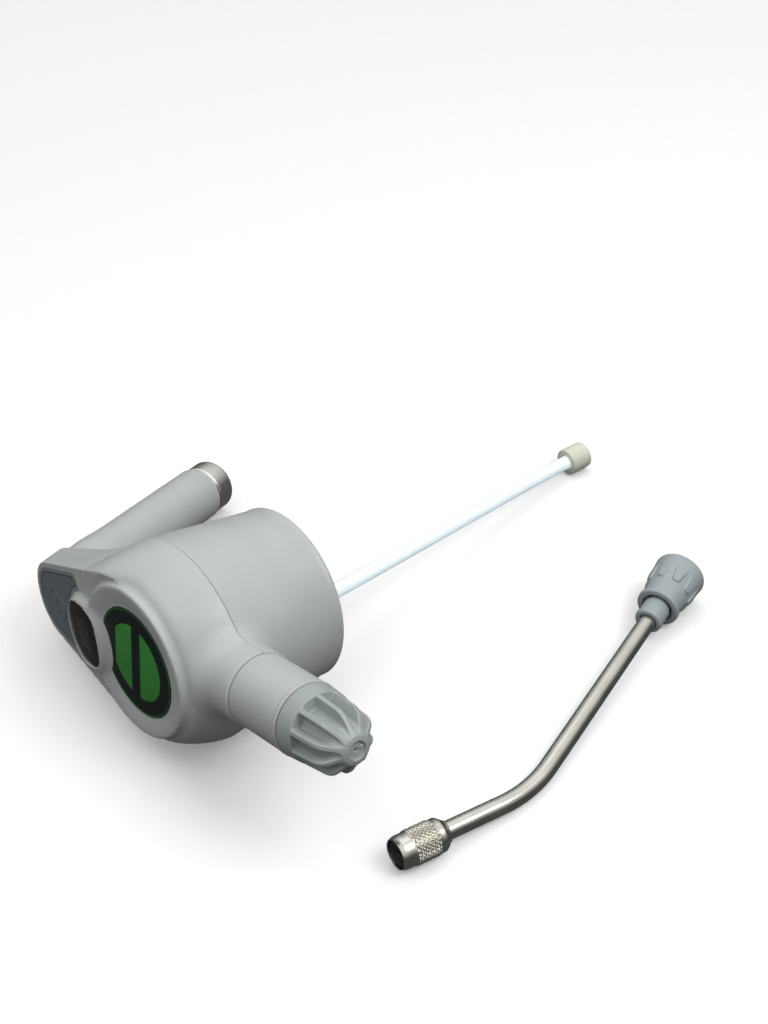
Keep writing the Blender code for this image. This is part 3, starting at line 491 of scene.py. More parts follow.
CORNERS = [(i, j, k) for i in (0, 1) for j in (0, 1) for k in (0, 1)]
EDGES = [(a, b) for a in range(8) for b in range(a + 1, 8)
         if sum(abs(CORNERS[a][i] - CORNERS[b][i]) for i in range(3)) == 1]


def sample(field, xs, ys, zs):
    """The field on a grid, one slab at a time."""
    out = np.empty((len(xs), len(ys), len(zs)), np.float32)
    slab = 24
    for i in range(0, len(xs), slab):
        x, y, z = np.meshgrid(xs[i:i + slab], ys, zs, indexing="ij")
        out[i:i + slab] = field(x, y, z)
    return out


def layers(low, high, step, fine=None):
    """Grid positions along one axis, closer together around the place `fine`."""
    coarse = np.arange(low, high + step, step)
    if fine is None:
        return coarse
    close = fine + np.arange(-1.0, 1.01, 0.2) * step
    return np.sort(np.concatenate((coarse[np.abs(coarse - fine) > 1.3 * step], close)))


def field_mesh(field, low, high, step, fine_z=None):
    """Points, quads and normals of a field's zero surface."""
    axes = [layers(a, b, step) for a, b in zip(low[:2], high[:2])]
    axes.append(layers(low[2], high[2], step, fine_z))
    values = sample(field, *axes)
    inside = values < 0
    size = [n - 1 for n in values.shape]
    total = np.zeros(size, np.int8)
    for i, j, k in CORNERS:
        total += inside[i:i + size[0], j:j + size[1], k:k + size[2]]
    cells = np.argwhere((total > 0) & (total < 8))
    corner = np.stack([values[tuple((cells + shift).T)] for shift in CORNERS], 1)
    offset = np.array(CORNERS, float)
    place = np.zeros((len(cells), 3))
    hits = np.zeros(len(cells))
    for a, b in EDGES:
        va, vb = corner[:, a], corner[:, b]
        crossing = (va < 0) != (vb < 0)
        share = np.where(crossing, va / np.where(crossing, va - vb, 1.0), 0.0)
        spot = offset[a] + share[:, None] * (offset[b] - offset[a])
        place += np.where(crossing[:, None], spot, 0.0)
        hits += crossing
    share = place / hits[:, None]
    points = np.stack([line[cells[:, i]] + share[:, i] * np.diff(line)[cells[:, i]]
                       for i, line in enumerate(axes)], 1)
    index = np.full(size, -1, np.int32)
    index[tuple(cells.T)] = np.arange(len(cells))
    quads = []
    for axis in range(3):
        near = [slice(None)] * 3
        far = [slice(None)] * 3
        near[axis], far[axis] = slice(None, -1), slice(1, None)
        a, b = inside[tuple(near)], inside[tuple(far)]
        spots = np.argwhere(a != b)
        u, v = (axis + 1) % 3, (axis + 2) % 3
        for side in (u, v):
            spots = spots[(spots[:, side] > 0) & (spots[:, side] < size[side])]
        ring = []
        for du, dv in ((1, 1), (0, 1), (0, 0), (1, 0)):
            cell = spots.copy()
            cell[:, u] -= du
            cell[:, v] -= dv
            ring.append(index[tuple(cell.T)])
        quad = np.stack(ring, 1)
        quad[~a[tuple(spots.T)]] = quad[~a[tuple(spots.T)]][:, ::-1]
        quads.append(quad)
    quads = np.concatenate(quads)
    for _ in range(4):
        value, slope = gradient(field, points, 0.04)
        length = np.maximum((slope ** 2).sum(1), 0.04)
        move = -(value / length)[:, None] * slope
        reach = np.linalg.norm(move, axis=1)
        move *= np.minimum(1.0, 0.4 * step / np.maximum(reach, 1e-9))[:, None]
        points = points + move
    slope = gradient(field, points, 0.12)[1]
    normals = slope / np.maximum(np.linalg.norm(slope, axis=1), 1e-9)[:, None]
    return points, quads, normals


def gradient(field, points, eps):
    x, y, z = points.T
    value = field(x, y, z)
    slope = np.stack((
        field(x + eps, y, z) - field(x - eps, y, z),
        field(x, y + eps, z) - field(x, y - eps, z),
        field(x, y, z + eps) - field(x, y, z - eps),
    ), 1) / (2 * eps)
    return value, slope


def field_piece(name, field, low, high, step, body, materials, place, replaces=(), shade=None,
                fine_z=None):
    points, quads, normals = field_mesh(field, low, high, step, fine_z)
    shades = None
    if shade is not None:
        middle = points[quads].mean(1)
        shades = shade(*middle.T)
    return add_piece(name, points, quads.tolist(), body, materials, place, replaces, None,
                     normals, shades)


# ---------------------------------------------------------------- the head's outer form
def wrap(circles, x, y):
    """Signed distance to the outline wrapped around circles (x, y, radius) that follow each other."""
    result = None
    for (sx, sy, large), (ex, ey, small) in zip(circles, circles[1:]):
        length = math.hypot(ex - sx, ey - sy)
        ux, uy = (ex - sx) / length, (ey - sy) / length
        lean = (large - small) / length
        level = math.sqrt(1 - lean * lean)
        px = (x - sx) * ux + (y - sy) * uy
        py = np.abs((y - sy) * ux - (x - sx) * uy)
        along_side = px * level - py * lean
        side = py * level + px * lean - large
        shape = np.where(along_side < 0, np.hypot(px, py) - large,
                         np.where(along_side > level * length, np.hypot(px - length, py) - small, side))
        result = shape if result is None else np.minimum(result, shape)
    return result


def panel_height(x):
    """The panel's height: level at the label, then falling to the rear."""
    soft = 5.0
    return -math.tan(PANEL_SLOPE) * soft * np.logaddexp(0.0, (PANEL_FALL_X - x) / soft)


def slope_height(x):
    """The height of the panel's falling part."""
    return -math.tan(PANEL_SLOPE) * (PANEL_FALL_X - x)


def cover_form(x, y, z, inset=0.0):
    """The cover's dome over its outline, or the room inside it."""
    top = wrap(PANEL_CIRCLES, x, y)
    seam = smin(np.hypot(x, y) - BODY_RADIUS, wrap(ROOT_CIRCLES, x, y), 14.0)
    run = np.maximum(top - seam, 1.5)
    rise = panel_height(x) - SEAM_Z
    h = np.maximum((z - SEAM_Z) / rise, 1e-4)
    d = np.maximum(top / run, 1e-4)
    p = EDGE_POWER
    reach = (h ** p + d ** p) ** (1 / p)
    dh = (h / reach) ** (p - 1) / rise
    dd = (d / reach) ** (p - 1) / run
    form = (reach - 1) / np.sqrt(dh ** 2 + dd ** 2)
    if inset == 0.0:
        return form
    side = top - run * np.maximum(1 - np.minimum(h, 1.0) ** p, 0.0) ** (1 / p)
    return np.maximum(form, side) + inset


def along(place, x, y, z):
    """Distance along a frame's +Z, and from that axis."""
    origin = np.array(place.translation) / MM
    axis = np.array(place.to_3x3().col[2])
    px, py, pz = x - origin[0], y - origin[1], z - origin[2]
    s = px * axis[0] + py * axis[1] + pz * axis[2]
    rho = np.sqrt(np.maximum(px * px + py * py + pz * pz - s * s, 0.0))
    return s, rho


def handle_form(x, y, z):
    s, rho = along(HANDLE_IN_HEAD, x, y, z)
    radius = HANDLE_RADIUS + HANDLE_SWELL * ramp(-s, *HANDLE_SWELL_SPAN)
    solid = smax(rho - radius, s, 0.9)
    return smax(solid, -s - HANDLE_LENGTH, 13.0)


def boss_form(x, y, z):
    s, rho = along(NOZZLE_IN_HEAD, x, y, z)
    return smax(smax(rho - BOSS_RADIUS, s - NOZZLE_BASE, 0.9), BOSS_ROOT - s, 4.0)


def throat(x, y, z):
    """The room inside the boss."""
    s, rho = along(NOZZLE_IN_HEAD, x, y, z)
    return np.maximum(rho - THROAT_RADIUS, THROAT_START - s)


def ring_form(x, y, z):
    """The raised band around the label."""
    r = np.hypot(x - RING_X, y)
    return smax(smax(r - RING_RADIUS, z - RING_TOP, 2.4), -z - 12.0, 1.0)


def ring_foot(x, y, z):
    """The depth of the soft groove around the band's foot."""
    across = (np.hypot(x - RING_X, y) - RING_RADIUS - RING_FOOT_OFFSET) / RING_FOOT_WIDTH
    return RING_FOOT_DEPTH * np.exp(-across ** 2) * ramp(x, -38.0, -24.0) * ramp(z, -12.0, -8.0)


def dish_form(x, y, z):
    """The shallow dish inside the band, with the label's flat seat."""
    r = np.hypot(x - LABEL_X, y)
    side = (RING_TOP - z + (r - 37.6) * 0.25) / 1.03
    return smax(smax(-z - DISH_DEPTH, side, 0.5), r - 39.6, 1.0)


def panel_coords(x, z, centre):
    """Along and out of the sloping panel, from a point on it."""
    px, pz = x - centre, z - slope_height(centre)
    c, s = math.cos(PANEL_SLOPE), math.sin(PANEL_SLOPE)
    return px * c + pz * s, -px * s + pz * c


def oval_distance(u, v, a, b, power=2.0):
    """Signed distance, nearly, to a rounded outline around the origin."""
    g = ((np.abs(u) / a) ** power + (np.abs(v) / b) ** power + 1e-9) ** (1 / power)
    gu = (np.abs(u) / a) ** (power - 1) / a
    gv = (np.abs(v) / b) ** (power - 1) / b
    steep = np.sqrt(gu ** 2 + gv ** 2) * g ** (1 - power)
    return (g - 1) / np.maximum(steep, 0.02)


def bezel_form(x, y, z):
    u, w = panel_coords(x, z, BEZEL_X)
    flare = 0.22 + 0.65 * ramp(u, 0.0, 16.0)
    wall = (oval_distance(u, y, 17.9, 19.4, 2.2) - (BEZEL_HEIGHT - w) * flare) / np.sqrt(1 + flare ** 2)
    return smax(smax(wall, w - BEZEL_HEIGHT, 2.2), -w - 3.0, 1.0)


def window_form(x, y, z):
    u, w = panel_coords(x, z, BEZEL_X)
    return smax(oval_distance(u, y, WINDOW_HALF[0] + 0.15, WINDOW_HALF[1] + 0.15, 2.5), 1.0 - w, 0.3)


def button_outline(u, v):
    return oval_distance(u, v, BUTTON_HALF[0] + BUTTON_GAP, BUTTON_HALF[1] + BUTTON_GAP)


def button_hole(x, y, z):
    """The button's hole, from the panel down."""
    u, w = panel_coords(x, z, BUTTON_X)
    return np.maximum(button_outline(u, y), -w - 8.0)


def outer_form(x, y, z):
    """Cover and handle without the nozzle root, without their openings and without the seam."""
    tongue = ramp(np.hypot(x, y), 56.0, 66.0)
    form = smax(cover_form(x, y, z), SEAM_Z + SEAM_GAP / 2 - z, 0.2 + 5.0 * tongue)
    return smin(form, handle_form(x, y, z), 11.0)


def cover_field(x, y, z):
    form = outer_form(x, y, z)
    form = smin(form, boss_form(x, y, z), 8.0) + ring_foot(x, y, z)
    form = smin(form, ring_form(x, y, z), 1.4)
    form = smax(form, -dish_form(x, y, z), 1.4)
    form = smin(form, bezel_form(x, y, z), 2.4)
    form = smax(form, -window_form(x, y, z), 0.5)
    below = SEAM_Z + SEAM_GAP / 2 - z - 6.0 * np.maximum(-58.0 - x, 0.0)
    form = smax(form, below, 0.2)
    hollow = smax(cover_form(x, y, z, COVER_WALL), SEAM_Z + WALL - z, 1.0)
    hollow = np.minimum(hollow, np.maximum(np.hypot(x, y) - ROOM_RADIUS, z - SEAM_Z - 6.0))
    s, rho = along(HANDLE_IN_HEAD, x, y, z)
    for radius, depth in (HANDLE_BORE, LEAD_BORE):
        hollow = np.minimum(hollow, np.maximum(rho - radius, -s - depth))
    hollow = np.minimum(hollow, throat(x, y, z))
    form = np.maximum(form, -hollow)
    return smax(form, -button_hole(x, y, z), 0.3)


def skirt_field(x, y, z):
    r = np.hypot(x, y)
    taper = (BODY_RADIUS - MOUTH_RADIUS) / (SEAM_Z - MOUTH_Z)
    outside = MOUTH_RADIUS + (z - MOUTH_Z) * taper
    outside = outside + MOUTH_LIP * ramp(-z, -MOUTH_Z - 4.0, -MOUTH_Z - 1.0)
    form = r - outside
    form = smin(form, boss_form(x, y, z), 8.0)
    form = smax(form, z - SEAM_Z + SEAM_GAP / 2, 0.2)
    form = smax(form, MOUTH_Z - z, 1.4)
    turn = np.arctan2(y, x) / (2 * math.pi)
    offset = (z - THREAD_START - turn * THREAD_PITCH + THREAD_PITCH / 2) % THREAD_PITCH - THREAD_PITCH / 2
    fade = ramp(-z, 66.5, 70.0) * ramp(z, -85.5, -82.0)
    ridge = THREAD_HEIGHT * (1 - ramp(np.abs(offset), 0.5, 1.7)) * fade
    socket = smax(r - SOCKET_RADIUS + ridge, z - BULKHEAD_Z, 1.0)
    form = smax(form, -socket, 0.8)
    hollow = np.maximum(r - outside + WALL, BULKHEAD_Z + WALL - z)
    hollow = np.minimum(hollow, throat(x, y, z))
    hollow = np.minimum(hollow, np.hypot(x - TUBE_X, y) - TUBE_RADII[0] - 0.3)
    for hole_x, hole_y in SCREW_PLACES:
        hollow = np.minimum(hollow, np.hypot(x - hole_x, y - hole_y) - SCREW_HOLE)
    return smax(form, -hollow, 0.3)


def make_shells():
    step = 0.85
    field_piece("cover_and_handle", cover_field, (-164.0, -57.0, -152.0), (75.0, 57.0, 7.0), step,
                "sprayer", "body", HEAD, ("top_cover", "handle_shell", "display_bezel"),
                fine_z=SEAM_Z + SEAM_GAP / 2)
    field_piece("skirt", skirt_field, (-58.0, -58.0, -96.0), (75.0, 58.0, -27.0), step,
                "sprayer", "body", HEAD, ("lower_housing",),
                fine_z=SEAM_Z - SEAM_GAP / 2)


# ---------------------------------------------------------------- panel
def panel_place(x, height=0.0):
    point = Matrix.Translation(Vector((x, 0.0, slope_height(x))) * MM)
    return HEAD @ point @ Matrix.Rotation(-PANEL_SLOPE, 4, "Y") @ Matrix.Translation((0.0, 0.0, height * MM))


def film_outline(x, y):
    """Signed distance to the film's edge, in the sloping panel's plane."""
    side = wrap(PANEL_CIRCLES, x, y) + FILM_MARGIN
    lean = (x + 50.5) * 0.96 + (np.abs(y) - 27.5) * 0.28
    edge = smax(side, lean, 5.0)
    round_bezel = oval_distance(x - BEZEL_X, y, 20.6, 21.6)
    return smax(edge, -round_bezel, 1.5)


def make_film():
    """The film around the button, with a fine groove inside its edge."""
    def inset(u, v):
        return -film_outline(FILM_ORIGIN + u * math.cos(PANEL_SLOPE), v)

    def sheet(u, v, w):
        hole = -button_outline(u - (BUTTON_X - FILM_ORIGIN), v)
        groove = np.maximum(np.abs(FILM_GROOVE_INSET - inset(u, v)) - FILM_GROOVE_HALF, -w)
        body = smax(smax(np.maximum(-inset(u, v), hole), w - FILM_HEIGHT, 0.25), -w - 0.5, 0.1)
        return smax(body, -groove, 0.1)

    def shade(u, v, w):
        outer, inner = FILM_GROOVE_INSET - FILM_GROOVE_HALF, FILM_GROOVE_INSET + FILM_GROOVE_HALF
        return np.where(inset(u, v) < outer, 1, np.where(inset(u, v) < inner, 2, 0))

    step = 0.3
    field_piece("panel_film", sheet, (-34.0, -34.0, -0.9), (32.0, 34.0, 0.6), step, "sprayer",
                ("film", "film_edge", "groove"), panel_place(FILM_ORIGIN),
                ("panel_overlay",), shade)


def make_button():
    squeeze = BUTTON_HALF[1] / BUTTON_HALF[0]
    oval = Matrix.Diagonal((1.0, squeeze, 1.0, 1.0))
    r = BUTTON_HALF[0]
    profile = [(0.0, 0.25, 0.0), (r * 0.6, 0.25, 0.0), (r, 0.25, 0.4), (r, -3.4, 0.0),
               (r + 1.0, -3.4, 0.2), (r + 1.0, -4.4, 0.2), (2.0, -4.4, 0.0), (2.0, -7.0, 0.2),
               (0.0, -7.0, 0.0)]
    revolve("button", profile, "power_button", "film", panel_place(BUTTON_X) @ oval,
            ("power_button",), 96, closed=False)
    place = panel_place(BUTTON_X + 0.8, 0.25)
    gap = math.radians(32.0)
    inner, outer = 3.3, 4.0
    points, faces = [], []
    count = 40
    for i in range(count + 1):
        a = gap + (2 * math.pi - 2 * gap) * i / count
        for r, z in ((inner, -0.05), (inner, 0.05), (outer, 0.05), (outer, -0.05)):
            points.append((r * math.cos(a), r * math.sin(a), z))
    for i in range(count):
        for k in range(4):
            j = (k + 1) % 4
            faces.append((4 * i + k, 4 * i + j, 4 * i + 4 + j, 4 * i + 4 + k))
    faces += [(3, 2, 1, 0), (4 * count, 4 * count + 1, 4 * count + 2, 4 * count + 3)]
    add_piece("button_icon_ring", points, faces, "power_button", "icon", place)
    bar = rounded([(1.2, -0.35, 0.2), (4.6, -0.35, 0.2), (4.6, 0.35, 0.2), (1.2, 0.35, 0.2)], True, 3)
    plate("button_icon_bar", bar, -0.05, 0.05, 0.02, "power_button", "icon", place)


def make_window():
    place = panel_place(BEZEL_X)
    plate("window", ellipse(*WINDOW_HALF, 96, 2.5), 1.0, 3.3, 0.35, "sprayer", "window",
          place, ("display_lens",))
    screen = rounded([(-7.2, -9.0, 1.2), (6.4, -9.0, 1.2), (6.4, 9.0, 1.2), (-7.2, 9.0, 1.2)], True, 6)
    plate("screen", screen, 3.2, 3.34, 0.03, "sprayer", "screen", place)


def segment(radius, low, high, steps=48):
    """Outline of the part of a disc between two parallel chords, at x from low to high."""
    points = []
    for sign in (1, -1):
        start, end = (high, low) if sign > 0 else (low, high)
        for i in range(steps + 1):
            x = start + (end - start) * i / steps
            points.append((x, sign * math.sqrt(max(radius ** 2 - x * x, 0.0))))
    clean = []
    for p in points:
        if not clean or math.dist(p, clean[-1]) > 0.05:
            clean.append(p)
    return clean if math.dist(clean[0], clean[-1]) > 0.05 else clean[:-1]


def make_label():
    place = HEAD @ Matrix.Translation(Vector((LABEL_X, 0.0, -DISH_DEPTH)) * MM)
    r = LABEL_RADIUS
    disc = [(0.0, 0.35, 0.0), (r * 0.5, 0.35, 0.0), (r, 0.35, 0.2), (r, -0.2, 0.0), (0.0, -0.2, 0.0)]
    revolve("label", disc, "sprayer", "label_black", place, ("label_disc",), 160,
            closed=False)
    rim = [(r - 1.35, 0.3, 0.0), (r - 1.35, 0.42, 0.0), (r - 0.5, 0.42, 0.05), (r - 0.5, 0.3, 0.0)]
    revolve("label_rim", rim, "sprayer", "label_rim", place, (), 160)
    turned = place @ Matrix.Rotation(LABEL_TURN, 4, "Z")
    front = segment(LABEL_HALF_RADIUS, LABEL_HALF_GAP, LABEL_HALF_RADIUS)
    rear = segment(LABEL_HALF_RADIUS, -LABEL_HALF_REAR, -LABEL_HALF_GAP)
    for name, outline in (("label_half_front", front), ("label_half_rear", rear)):
        plate(name, outline, 0.3, 0.42, 0.04, "sprayer", "label_green", turned)


# ---------------------------------------------------------------- nozzle
def make_nozzle():
    r = NOZZLE_RADIUS
    end, start = CAP_START - 0.7, NOZZLE_BASE + 0.35
    sleeve = [(12.0, 111.5, 0.3), (15.2, 111.5, 0.4), (15.2, end, 0.2), (r + 0.25, end, 0.6),
              (r + 0.25, end - 1.4, 0.7), (r, end - 2.4, 0.8), (r, start + 0.5, 0.3),
              (r - 0.6, start, 0.2), (14.0, start, 0.2), (14.0, 50.0, 0.2), (12.0, 50.0, 0.2)]
    revolve("sleeve", sleeve, "sprayer", "body", NOZZLE, ("nozzle_sleeve",), 160)


def cap_field(x, y, z):
    """The spray cap: ribs from its ring to its hub, over a core that is hollow inside."""
    rho = np.hypot(x, y)
    spin = 2 * math.pi / CAP_RIBS
    angle = (np.arctan2(y, x) + spin / 2) % spin - spin / 2
    across = rho * np.sin(angle)
    side = (rho - NOZZLE_RADIUS + CAP_DRAFT * (z - CAP_START)) / math.hypot(1.0, CAP_DRAFT)
    front = (rho - CAP_FACE_RADIUS) * 0.62 + (z - CAP_TIP + 0.3) * 0.785
    envelope = smax(smax(side, front, 3.0), z - CAP_TIP, 1.6)
    ring_end = CAP_START + CAP_RING_LENGTH
    core = rho - CAP_CORE_RADIUS + 0.08 * (z - ring_end)
    core = smax(core, (rho - 7.6) * 0.68 + (z - CAP_TIP + 2.0) * 0.733, 2.5)
    hub = smax(rho - CAP_HUB_RADIUS, z - CAP_TIP, 1.6)
    core = smin(core, hub, 2.0)
    rib = np.abs(across) - CAP_RIB_HALF
    form = smin(core, smax(envelope, smin(rib, z - ring_end, 1.2), 0.7), 1.4)
    form = smax(form, CAP_START - z, 0.9)
    bore = np.maximum(rho - 15.6, z - 112.0)
    seal_seat = np.maximum(rho - 16.6, np.abs(z - 109.1) - 0.9)
    room = np.maximum((rho - 11.3) * 0.93 + (z - 112.0) * 0.30, z - 136.0)
    room = np.maximum(room, 111.0 - z)
    form = smax(form, -np.minimum(np.minimum(bore, seal_seat), room), 0.4)
    dimple = smax(rho - CAP_DIMPLE_RADIUS, CAP_TIP - CAP_DIMPLE_DEPTH - z, 0.5)
    form = smax(form, -np.maximum(rho - CAP_JET_RADIUS, 136.0 - z), 0.25)
    return smax(form, -dimple, 0.9)


def make_cap():
    step = 0.36
    field_piece("cap", cap_field, (-19.2, -19.2, 105.8), (19.2, 19.2, 143.6), step, "spray_cap",
                "cap", NOZZLE, ("spray_cap",))
    pip = [(0.0, CAP_TIP + 0.1, 0.0), (1.1, CAP_TIP + 0.1, 0.6), (1.5, CAP_TIP - 1.0, 0.0),
           (0.0, CAP_TIP - 1.0, 0.0)]
    spot = NOZZLE @ Matrix.Translation(Vector((0.4, -3.0, 0.0)) * MM)
    revolve("cap_pip", pip, "spray_cap", "cap", spot, (), 32, closed=False)


# ---------------------------------------------------------------- battery cap
def make_battery_cap():
    profile = [(0.0, 14.6, 0.0), (10.8, 14.6, 0.3), (11.4, 15.4, 0.3), (13.8, 15.4, 0.5),
               (15.0, 14.0, 0.8), (15.0, 2.6, 0.2), (14.5, 2.2, 0.15), (14.5, 1.6, 0.15),
               (15.0, 1.2, 0.2), (15.0, 0.4, 0.3), (12.2, 0.4, 0.2), (12.2, -6.5, 0.3),
               (9.5, -6.5, 0.3), (9.5, -2.0, 0.2), (0.0, -2.0, 0.0)]
    revolve("end_cap", profile, "battery_cap", "nickel", HANDLE, ("battery_cap",), 160,
            closed=False)


# ---------------------------------------------------------------- suction side
def bezier(start, start_pull, end_pull, end, count):
    t = np.linspace(0.0, 1.0, count + 1)[:, None]
    a, b, c, d = (np.array(p, float) for p in (start, start_pull, end_pull, end))
    return (1 - t) ** 3 * a + 3 * t * (1 - t) ** 2 * b + 3 * t * t * (1 - t) * c + t ** 3 * d


def make_suction_side():
    end_pull = np.array((-21.0, -14.6, -279.0))
    end = np.array((-16.5, -10.0, -330.0))
    line = bezier((TUBE_X, 0.0, TUBE_START), (TUBE_X, 0.0, TUBE_START - 48.0), end_pull, end, 64)
    sweep("suction_hose", line, TUBE_RADII, "sprayer", "tube", HEAD, ("suction_tube",), 48)
    way = (end - end_pull) / np.linalg.norm(end - end_pull)
    place = HEAD @ axis_frame((end - way * 0.5) * MM, way)
    weight = [(1.2, 7.0, 0.2), (8.0, 7.0, 0.9), (8.0, -7.0, 0.9), (4.6, -7.0, 0.4), (4.6, 1.6, 0.0),
              (1.2, 1.6, 0.0)]
    revolve("weight", weight, "sprayer", "ceramic", place, ("filter_weight",), 96)
    place = HEAD @ Matrix.Translation(Vector((TUBE_X, 0.0, 0.0)) * MM)
    fitting = [(0.9, -57.2, 0.0), (3.4, -57.2, 0.3), (3.4, -59.2, 0.0), (4.0, -59.2, 0.2),
               (4.0, -62.3, 0.0), (7.0, -62.3, 0.3), (7.0, -65.3, 0.4), (2.3, -65.3, 0.0),
               (2.3, -74.0, 0.3), (1.8, -75.5, 0.2), (0.9, -75.5, 0.0)]
    revolve("inlet", fitting, "sprayer", "resin", place, ("inlet_fitting",), 64)
    gasket = [(36.5, -62.3, 0.4), (42.3, -62.3, 0.4), (42.3, -64.8, 0.8), (36.5, -64.8, 0.8)]
    revolve("gasket", gasket, "sprayer", "rubber", HEAD, ("bottle_gasket",), 128)


# ---------------------------------------------------------------- lance
def lance_line():
    """The lance's axis between its nut and its nozzle, in metres."""
    nut, tip = LANCE_NEAR.translation, LANCE_FAR.translation
    first, second = LANCE_NEAR.to_3x3().col[2], LANCE_FAR.to_3x3().col[2]
    bend = first.angle(second)
    across = first.cross(second)
    reach = (tip - nut).cross(second).dot(across) / across.length_squared
    corner = nut + first * reach
    radius = LANCE_BEND_RADIUS * MM
    cut_back = radius * math.tan(bend / 2)
    centre = corner + (second - first).normalized() * radius / math.cos(bend / 2)
    arm = corner - first * cut_back - centre
    turn = across.normalized()
    points = [nut + first * (LANCE_START + i * 4.0) * MM for i in range(14)]
    points = [p for p in points if (p - nut).length < reach - cut_back - 0.002]
    points += [centre + Matrix.Rotation(bend * i / 24, 4, turn) @ arm for i in range(25)]
    end = tip - second * (BELL_LENGTH - 3.5) * MM
    last = points[-1]
    points += [last + (end - last) * i / 24 for i in range(1, 25)]
    return np.array([list(p) for p in points]) / MM


def knurl(angle, r, z):
    """Crossed diamond grooves round the nut's grip band."""
    band = ramp(z, KNURL_LOW - 0.2, KNURL_LOW + 0.6) * (1 - ramp(z, KNURL_HIGH - 0.6, KNURL_HIGH + 0.2))
    around = KNURL_STARTS * angle
    climb = 2 * math.pi * z / KNURL_PITCH
    ridge = min(abs(math.sin((around + climb) / 2)), abs(math.sin((around - climb) / 2)))
    return r + (1.0 * ridge - 0.7) * float(band) * (1.0 if r > NUT_RADIUS - 1.0 else 0.0)


def make_lance():
    world = Matrix.Identity(4)
    skin = (LANCE_RADIUS, LANCE_RADIUS - 1.0)
    sweep("lance_pipe", lance_line(), skin, "lance", "lance", world, ("lance_tube",), 64)
    r, length, bore = NUT_RADIUS, NUT_LENGTH, LANCE_RADIUS + 0.3
    rows = 90
    band_top, band_length = KNURL_HIGH + 0.2, KNURL_HIGH - KNURL_LOW + 0.4
    band = [(r, band_top - band_length * i / rows, 0.0) for i in range(rows + 1)]
    nut = [(bore, length, 0.2), (5.6, length, 0.4), (5.9, length - 1.3, 0.3),
           (r - 1.5, length - 2.2, 0.4), (r - 0.2, length - 4.0, 0.5), (r - 0.2, KNURL_HIGH + 0.9, 0.3),
           *band, (r - 0.3, KNURL_LOW - 0.8, 0.3), (r - 0.3, 2.6, 0.7), (r - 1.1, 0.0, 0.25),
           (7.0, 0.0, 0.2), (7.0, 15.0, 0.0), (bore, 15.0, 0.0)]
    count = 432
    revolve("nut", nut, "lance_nut", "lance", LANCE_NEAR, ("lance_nut",), count, knurl,
            steps=3, crease=50.0)
    ferrule = [(bore, 14.5, 0.0), (6.6, 14.5, 0.3), (6.6, 9.0, 0.3), (2.5, 8.0, 0.2), (2.5, 9.2, 0.0),
               (bore, 9.2, 0.0)]
    revolve("ferrule", ferrule, "lance", "brass", LANCE_NEAR, ("lance_ferrule",), 64)
    washer = [(1.6, 7.5, 0.0), (6.6, 7.5, 0.0), (6.6, 1.2, 0.5), (3.0, 1.2, 0.6), (1.6, 2.2, 0.4)]
    revolve("washer", washer, "lance", "rubber", LANCE_NEAR, ("lance_washer",), 64)
    low = -BELL_LENGTH
    collar = [(bore, low + 3.0, 0.0), (6.6, low + 3.0, 0.0), (6.6, low - 0.3, 0.0),
              (7.3, low - 0.3, 0.3), (7.3, low - 9.2, 0.5), (7.6, low - 9.8, 0.5),
              (7.2, low - 12.0, 1.0), (bore, low - 12.0, 0.5)]
    revolve("collar", collar, "lance", "bell", LANCE_FAR, ("lance_collar",), 96)
    step = 0.36
    field_piece("bell", bell_field, (-15.4, -15.4, low - 2.0), (15.4, 15.4, 1.4), step, "lance_nozzle",
                "bell", LANCE_FAR, ("lance_nozzle",))


def bell_field(x, y, z):
    """The lance's bell: a flared cup with grip pads raised round its middle."""
    rho = np.hypot(x, y)
    low = -BELL_LENGTH
    b = BELL_RADIUS
    outline = np.interp(z, (low, -28.0, -27.3, -25.6, -16.0, -7.0, -1.0, 0.5),
                        (b - 2.6, b - 2.4, b - 3.7, b - 3.3, b - 2.1, b - 0.6, b, b))
    spin = 2 * math.pi / GRIP_PADS
    angle = (np.arctan2(y, x) - GRIP_TURN) % spin - spin / 2
    across = rho * np.sin(angle)
    pad = smax(np.abs(across) - 2.0 - 0.13 * (z + 18.0), -z - 18.0, 1.6)
    fade = 1 - ramp(z, -15.0, -5.0)
    form = rho - outline - 1.1 * (1 - ramp(pad, -0.35, 0.35)) * fade
    form = smax(form, z, 1.0)
    form = smax(form, low - z, 1.2)
    recess = smax(rho - 8.7, z - low - 2.6, 0.4)
    inner = np.interp(z, (low, low + 11.0, -17.5, 1.0), (7.2, 7.2, b - 3.6, b - 1.7))
    hollow = np.maximum(rho - inner, low + 11.0 - z)
    neck = np.maximum(rho - 7.1, z - low - 8.0)
    form = smax(form, -recess, 0.4)
    form = smax(form, -hollow, 0.5)
    form = smax(form, -neck, 0.2)
    return smax(form, 1.0 - rho, 0.3)


# ---------------------------------------------------------------- stage
def area_light(name, place, aim, power, size):
    light = bpy.data.lights.new(name, "AREA")
    light.shape = "DISK"
    light.energy = power
    light.size = size
    lamp = bpy.data.objects.new(name, light)
    bpy.context.scene.collection.objects.link(lamp)
    lamp.location = place
    lamp.rotation_euler = (Vector(aim) - Vector(place)).to_track_quat("-Z", "Y").to_euler()


def pale_object(name, points, faces, material, strength):
    """A glowing pale surface that isn't mirrored in the object and doesn't light it."""
    mesh = bpy.data.meshes.new(name)
    mesh.from_pydata(points, [], faces)
    glow(material, (1.0, 1.0, 1.0), strength)
    mesh.materials.append(material)
    pale = bpy.data.objects.new(name, mesh)
    bpy.context.scene.collection.objects.link(pale)
    pale.visible_diffuse = False
    pale.visible_glossy = False
    return pale


